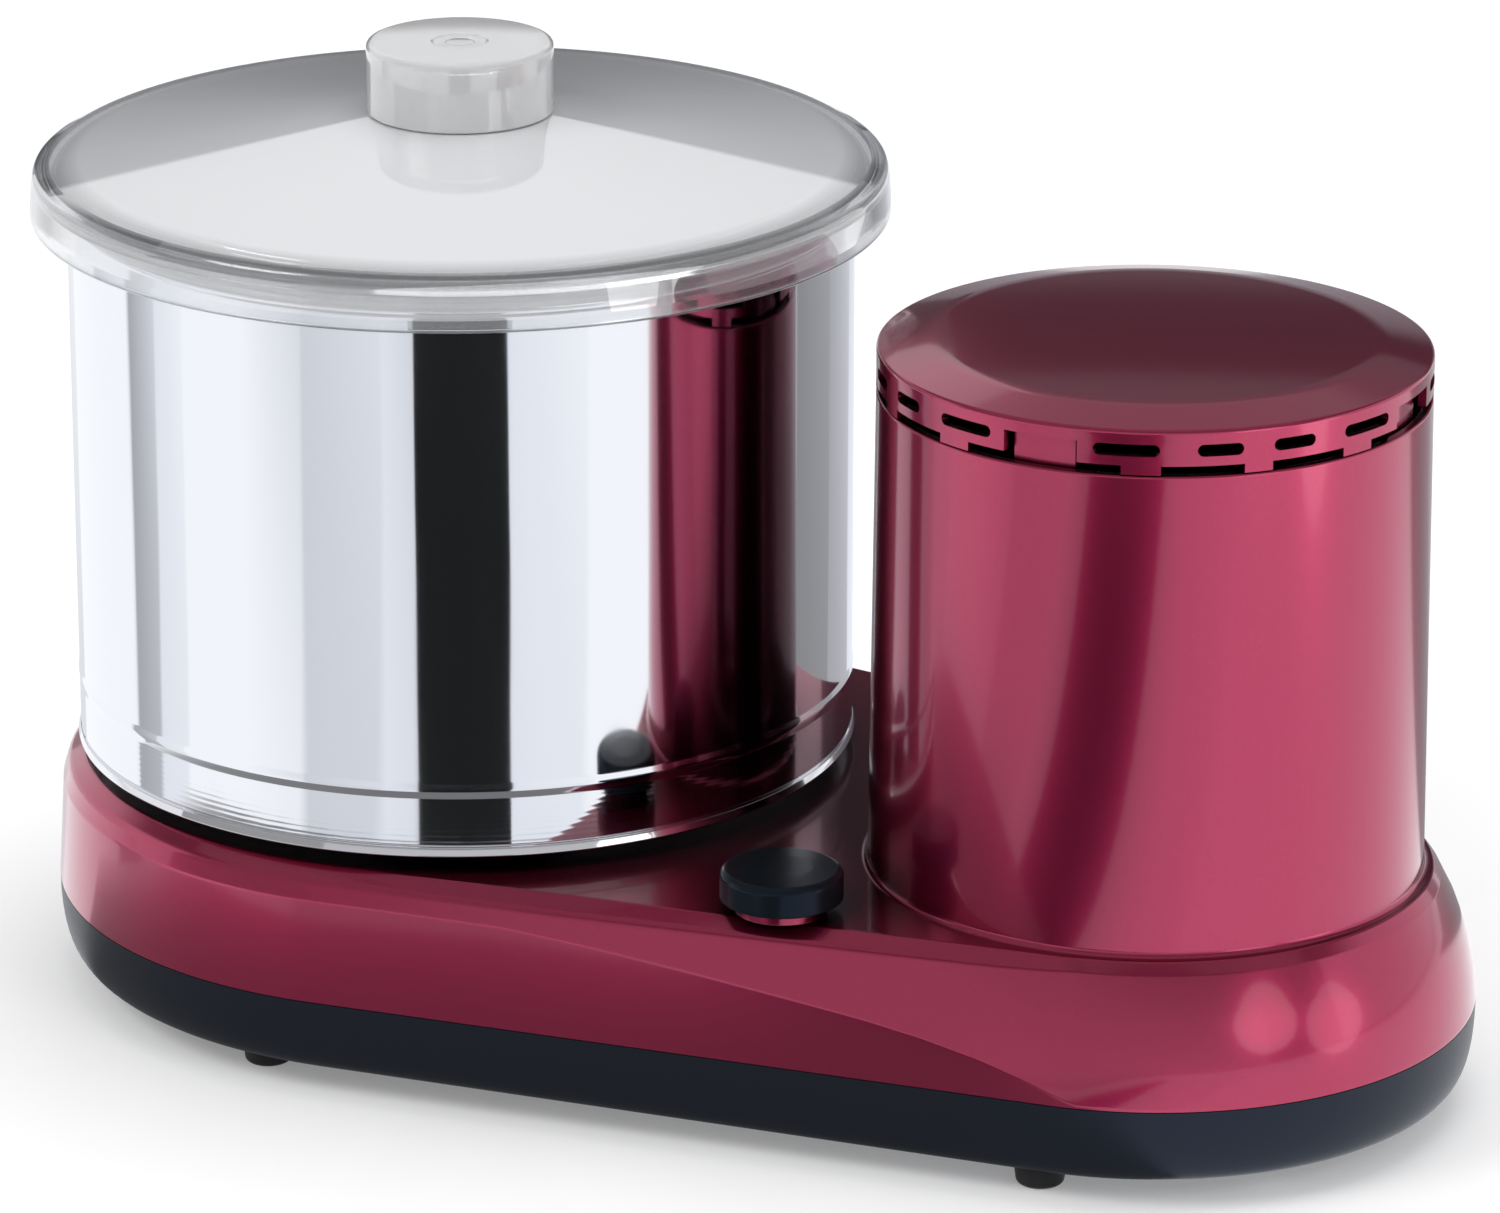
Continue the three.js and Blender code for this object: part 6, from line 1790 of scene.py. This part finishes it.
class GRINDER_OT_centre_post(bpy.types.Operator):
    """Builds the fixed post that shows when the drum is off"""

    bl_idname = "grinder.centre_post"
    bl_label = "Centre post"

    RADIUS = 6 * MM
    FOOT_RADIUS = 4 * MM
    FOOT_HEIGHT = 8 * MM
    COLLAR_RADIUS = 9 * MM
    COLLAR_TOP = 9.9 * MM
    THREAD_RADIUS = 4.5 * MM
    THREAD_START = 12.7 * MM  # below the post's tip, and the slope above it
    THREAD_FULL = 12.4 * MM
    TIP_BEND = 1.2 * MM

    def execute(self, context):
        low, high = corners("centre_post")
        collar_low = low.z + self.FOOT_HEIGHT
        collar_top = low.z + self.COLLAR_TOP
        profile = [
            (0, low.z, 0),
            (self.FOOT_RADIUS, low.z, SMALL_EDGE),
            (self.FOOT_RADIUS, collar_low, FINE_EDGE),
            (self.COLLAR_RADIUS, collar_low, SMALL_EDGE),
            (self.COLLAR_RADIUS, collar_top, SMALL_EDGE),
            (self.RADIUS, collar_top, SMALL_EDGE),
            (self.RADIUS, high.z - self.THREAD_START, NEAT_EDGE),
            (self.THREAD_RADIUS, high.z - self.THREAD_FULL, NEAT_EDGE),
            (self.THREAD_RADIUS, high.z, self.TIP_BEND),
            (0, high.z, 0),
        ]
        post = lathe(profile, DRUM_AXIS, TINY_SIDES, closed=False)
        post.piece("fixed_post", "turned_steel", "housing", "centre_post")
        return {"FINISHED"}


class GRINDER_OT_coupling(bpy.types.Operator):
    """Builds the spindle's coupling, with the three dogs that turn the drum"""

    bl_idname = "grinder.coupling"
    bl_label = "Coupling"

    BORE = 10.3 * MM
    RADIUS = 22 * MM
    PLATE = 7.7 * MM
    DOGS = 3
    DOG_ANGLE = math.radians(25)  # half of a dog's angle
    DOG_IN = 13 * MM
    DOG_OUT = 21 * MM
    DOG_SINK = 1 * MM  # how deep a dog reaches into the plate
    DOG_STEPS = 12

    def execute(self, context):
        low, high = corners("drive_coupling")
        plate_top = low.z + self.PLATE
        profile = [
            (self.BORE, low.z, FINE_EDGE),
            (self.RADIUS, low.z, FULL_EDGE),
            (self.RADIUS, plate_top, FULL_EDGE),
            (self.BORE, plate_top, SMALL_EDGE),
        ]
        coupling = lathe(profile, DRUM_AXIS, SMALL_SIDES)
        for dog in range(self.DOGS):
            turn = dog * TURN / self.DOGS
            span = (turn - self.DOG_ANGLE, turn + self.DOG_ANGLE)
            heights = (plate_top - self.DOG_SINK, high.z)
            coupling.sector((self.DOG_IN, self.DOG_OUT), heights, DRUM_AXIS, span, self.DOG_STEPS)
        coupling.piece("spindle_coupling", "inner_plastic", "spindle", "drive_coupling")
        return {"FINISHED"}


class GRINDER_OT_cord_gland(bpy.types.Operator):
    """Builds the rubber gland in the rear wall, where a cord would leave"""

    bl_idname = "grinder.cord_gland"
    bl_label = "Cord gland"

    BORE = 3 * MM
    NECK_RADIUS = 5.2 * MM  # where it passes through the wall
    INNER_RADIUS = 6.1 * MM
    OUTER_RADIUS = 7.6 * MM
    NOSE_RADIUS = 5.8 * MM
    # Places along its own axis, from the inside out
    INNER_END = -9.2 * MM
    INNER_FACE = -6.7 * MM
    OUTER_FACE = 0.8 * MM
    OUTER_END = 3.3 * MM
    NOSE_END = 10 * MM
    MOTOR_DISTANCE = 91 * MM  # from the motor's axis towards the drum

    def execute(self, context):
        profile = [
            (self.BORE, self.INNER_END, FINE_EDGE),
            (self.INNER_RADIUS, self.INNER_END, SMALL_EDGE),
            (self.INNER_RADIUS, self.INNER_FACE, NEAT_EDGE),
            (self.NECK_RADIUS, self.INNER_FACE, HAIR_EDGE),
            (self.NECK_RADIUS, self.OUTER_FACE, HAIR_EDGE),
            (self.OUTER_RADIUS, self.OUTER_FACE, SMALL_EDGE),
            (self.OUTER_RADIUS, self.OUTER_END, MOULDED_EDGE),
            (self.NOSE_RADIUS, self.OUTER_END, NEAT_EDGE),
            (self.NECK_RADIUS, self.NOSE_END, MOULDED_EDGE),
            (self.BORE, self.NOSE_END, SMALL_EDGE),
        ]
        # The rear wall runs straight between the base's two round ends.
        along = SPACING - self.MOTOR_DISTANCE
        lean = (BASE_DRUM_RADIUS - BASE_MOTOR_RADIUS) / SPACING
        wall_y = (BASE_DRUM_RADIUS - lean * along) / math.sqrt(1 - lean * lean)
        matrix = (
            Matrix.Translation((DRUM_X + along, wall_y, middle("cord_gland").z))
            @ Matrix.Rotation(LEAN, 4, "Z")
            @ Matrix.Rotation(math.pi / 2, 4, "Y")
        )
        gland = lathe(profile, (0, 0), TINY_SIDES).moved(matrix)
        gland.piece("cord_bush", "foot_rubber", "housing", "cord_gland")
        return {"FINISHED"}


class GRINDER_OT_inner_finishes(bpy.types.Operator):
    """Gives each CAD node its finish, and softens the edges of those that stay in view"""

    bl_idname = "grinder.inner_finishes"
    bl_label = "Inner finishes"

    SOFTENED = ("scraper_arm", "scraper_blade", "switch_body", "terminal_block", "bridge_bar")

    def execute(self, context):
        slots = {row["node"]: row["material_slot"] for row in frame["record"]["subparts"]}
        for name, node in frame["nodes"].items():
            node.data.materials.clear()
            node.data.materials.append(FINISHES[slots[name]])
        for name in self.SOFTENED:
            edge = frame["nodes"][name].modifiers.new("soft_edges", "BEVEL")
            edge.width = NEAT_EDGE
            edge.segments = 2
            edge.limit_method = "ANGLE"
        return {"FINISHED"}


class GRINDER_PT_panel(bpy.types.Panel):
    """Lists the grinder's pieces, sizes and colours"""

    bl_idname = "GRINDER_PT_panel"
    bl_label = "Tabletop wet grinder"
    bl_space_type = "VIEW_3D"
    bl_region_type = "UI"
    bl_category = "Grinder"

    def draw(self, context):
        for group in (context.scene.grinder_sizes, context.scene.grinder_colours):
            box = self.layout.box()
            for name in group.bl_rna.properties.keys():
                if name not in ("rna_type", "name"):
                    box.prop(group, name)
        for operator in OPERATORS:
            self.layout.operator(operator.bl_idname)


OPERATORS = (
    GRINDER_OT_stage,
    GRINDER_OT_body_shell,
    GRINDER_OT_motor_cover,
    GRINDER_OT_base_tray,
    GRINDER_OT_feet,
    GRINDER_OT_switch_button,
    GRINDER_OT_drum,
    GRINDER_OT_drum_tube,
    GRINDER_OT_floor_stone,
    GRINDER_OT_lid,
    GRINDER_OT_lid_knob,
    GRINDER_OT_cone_stones,
    GRINDER_OT_frame_sleeve,
    GRINDER_OT_frame_yoke,
    GRINDER_OT_frame_spring,
    GRINDER_OT_lock_knob,
    GRINDER_OT_centre_post,
    GRINDER_OT_coupling,
    GRINDER_OT_cord_gland,
    GRINDER_OT_inner_finishes,
)
CLASSES = (GrinderSizes, GrinderColours, *OPERATORS, GRINDER_PT_panel)


def register():
    for each in CLASSES:
        bpy.utils.register_class(each)
    bpy.types.Scene.grinder_sizes = bpy.props.PointerProperty(type=GrinderSizes)
    bpy.types.Scene.grinder_colours = bpy.props.PointerProperty(type=GrinderColours)


def unregister():
    del bpy.types.Scene.grinder_colours
    del bpy.types.Scene.grinder_sizes
    for each in reversed(CLASSES):
        bpy.utils.unregister_class(each)


def main():
    register()
    make_finishes(bpy.context.scene.grinder_colours)
    bpy.ops.grinder.stage()
    bpy.ops.grinder.body_shell()
    bpy.ops.grinder.motor_cover()
    bpy.ops.grinder.base_tray()
    bpy.ops.grinder.feet()
    bpy.ops.grinder.switch_button()
    bpy.ops.grinder.drum()
    bpy.ops.grinder.drum_tube()
    bpy.ops.grinder.floor_stone()
    bpy.ops.grinder.lid()
    bpy.ops.grinder.lid_knob()
    bpy.ops.grinder.cone_stones()
    bpy.ops.grinder.frame_sleeve()
    bpy.ops.grinder.frame_yoke()
    bpy.ops.grinder.frame_spring()
    bpy.ops.grinder.lock_knob()
    bpy.ops.grinder.centre_post()
    bpy.ops.grinder.coupling()
    bpy.ops.grinder.cord_gland()
    bpy.ops.grinder.inner_finishes()


if __name__ == "__main__":
    main()
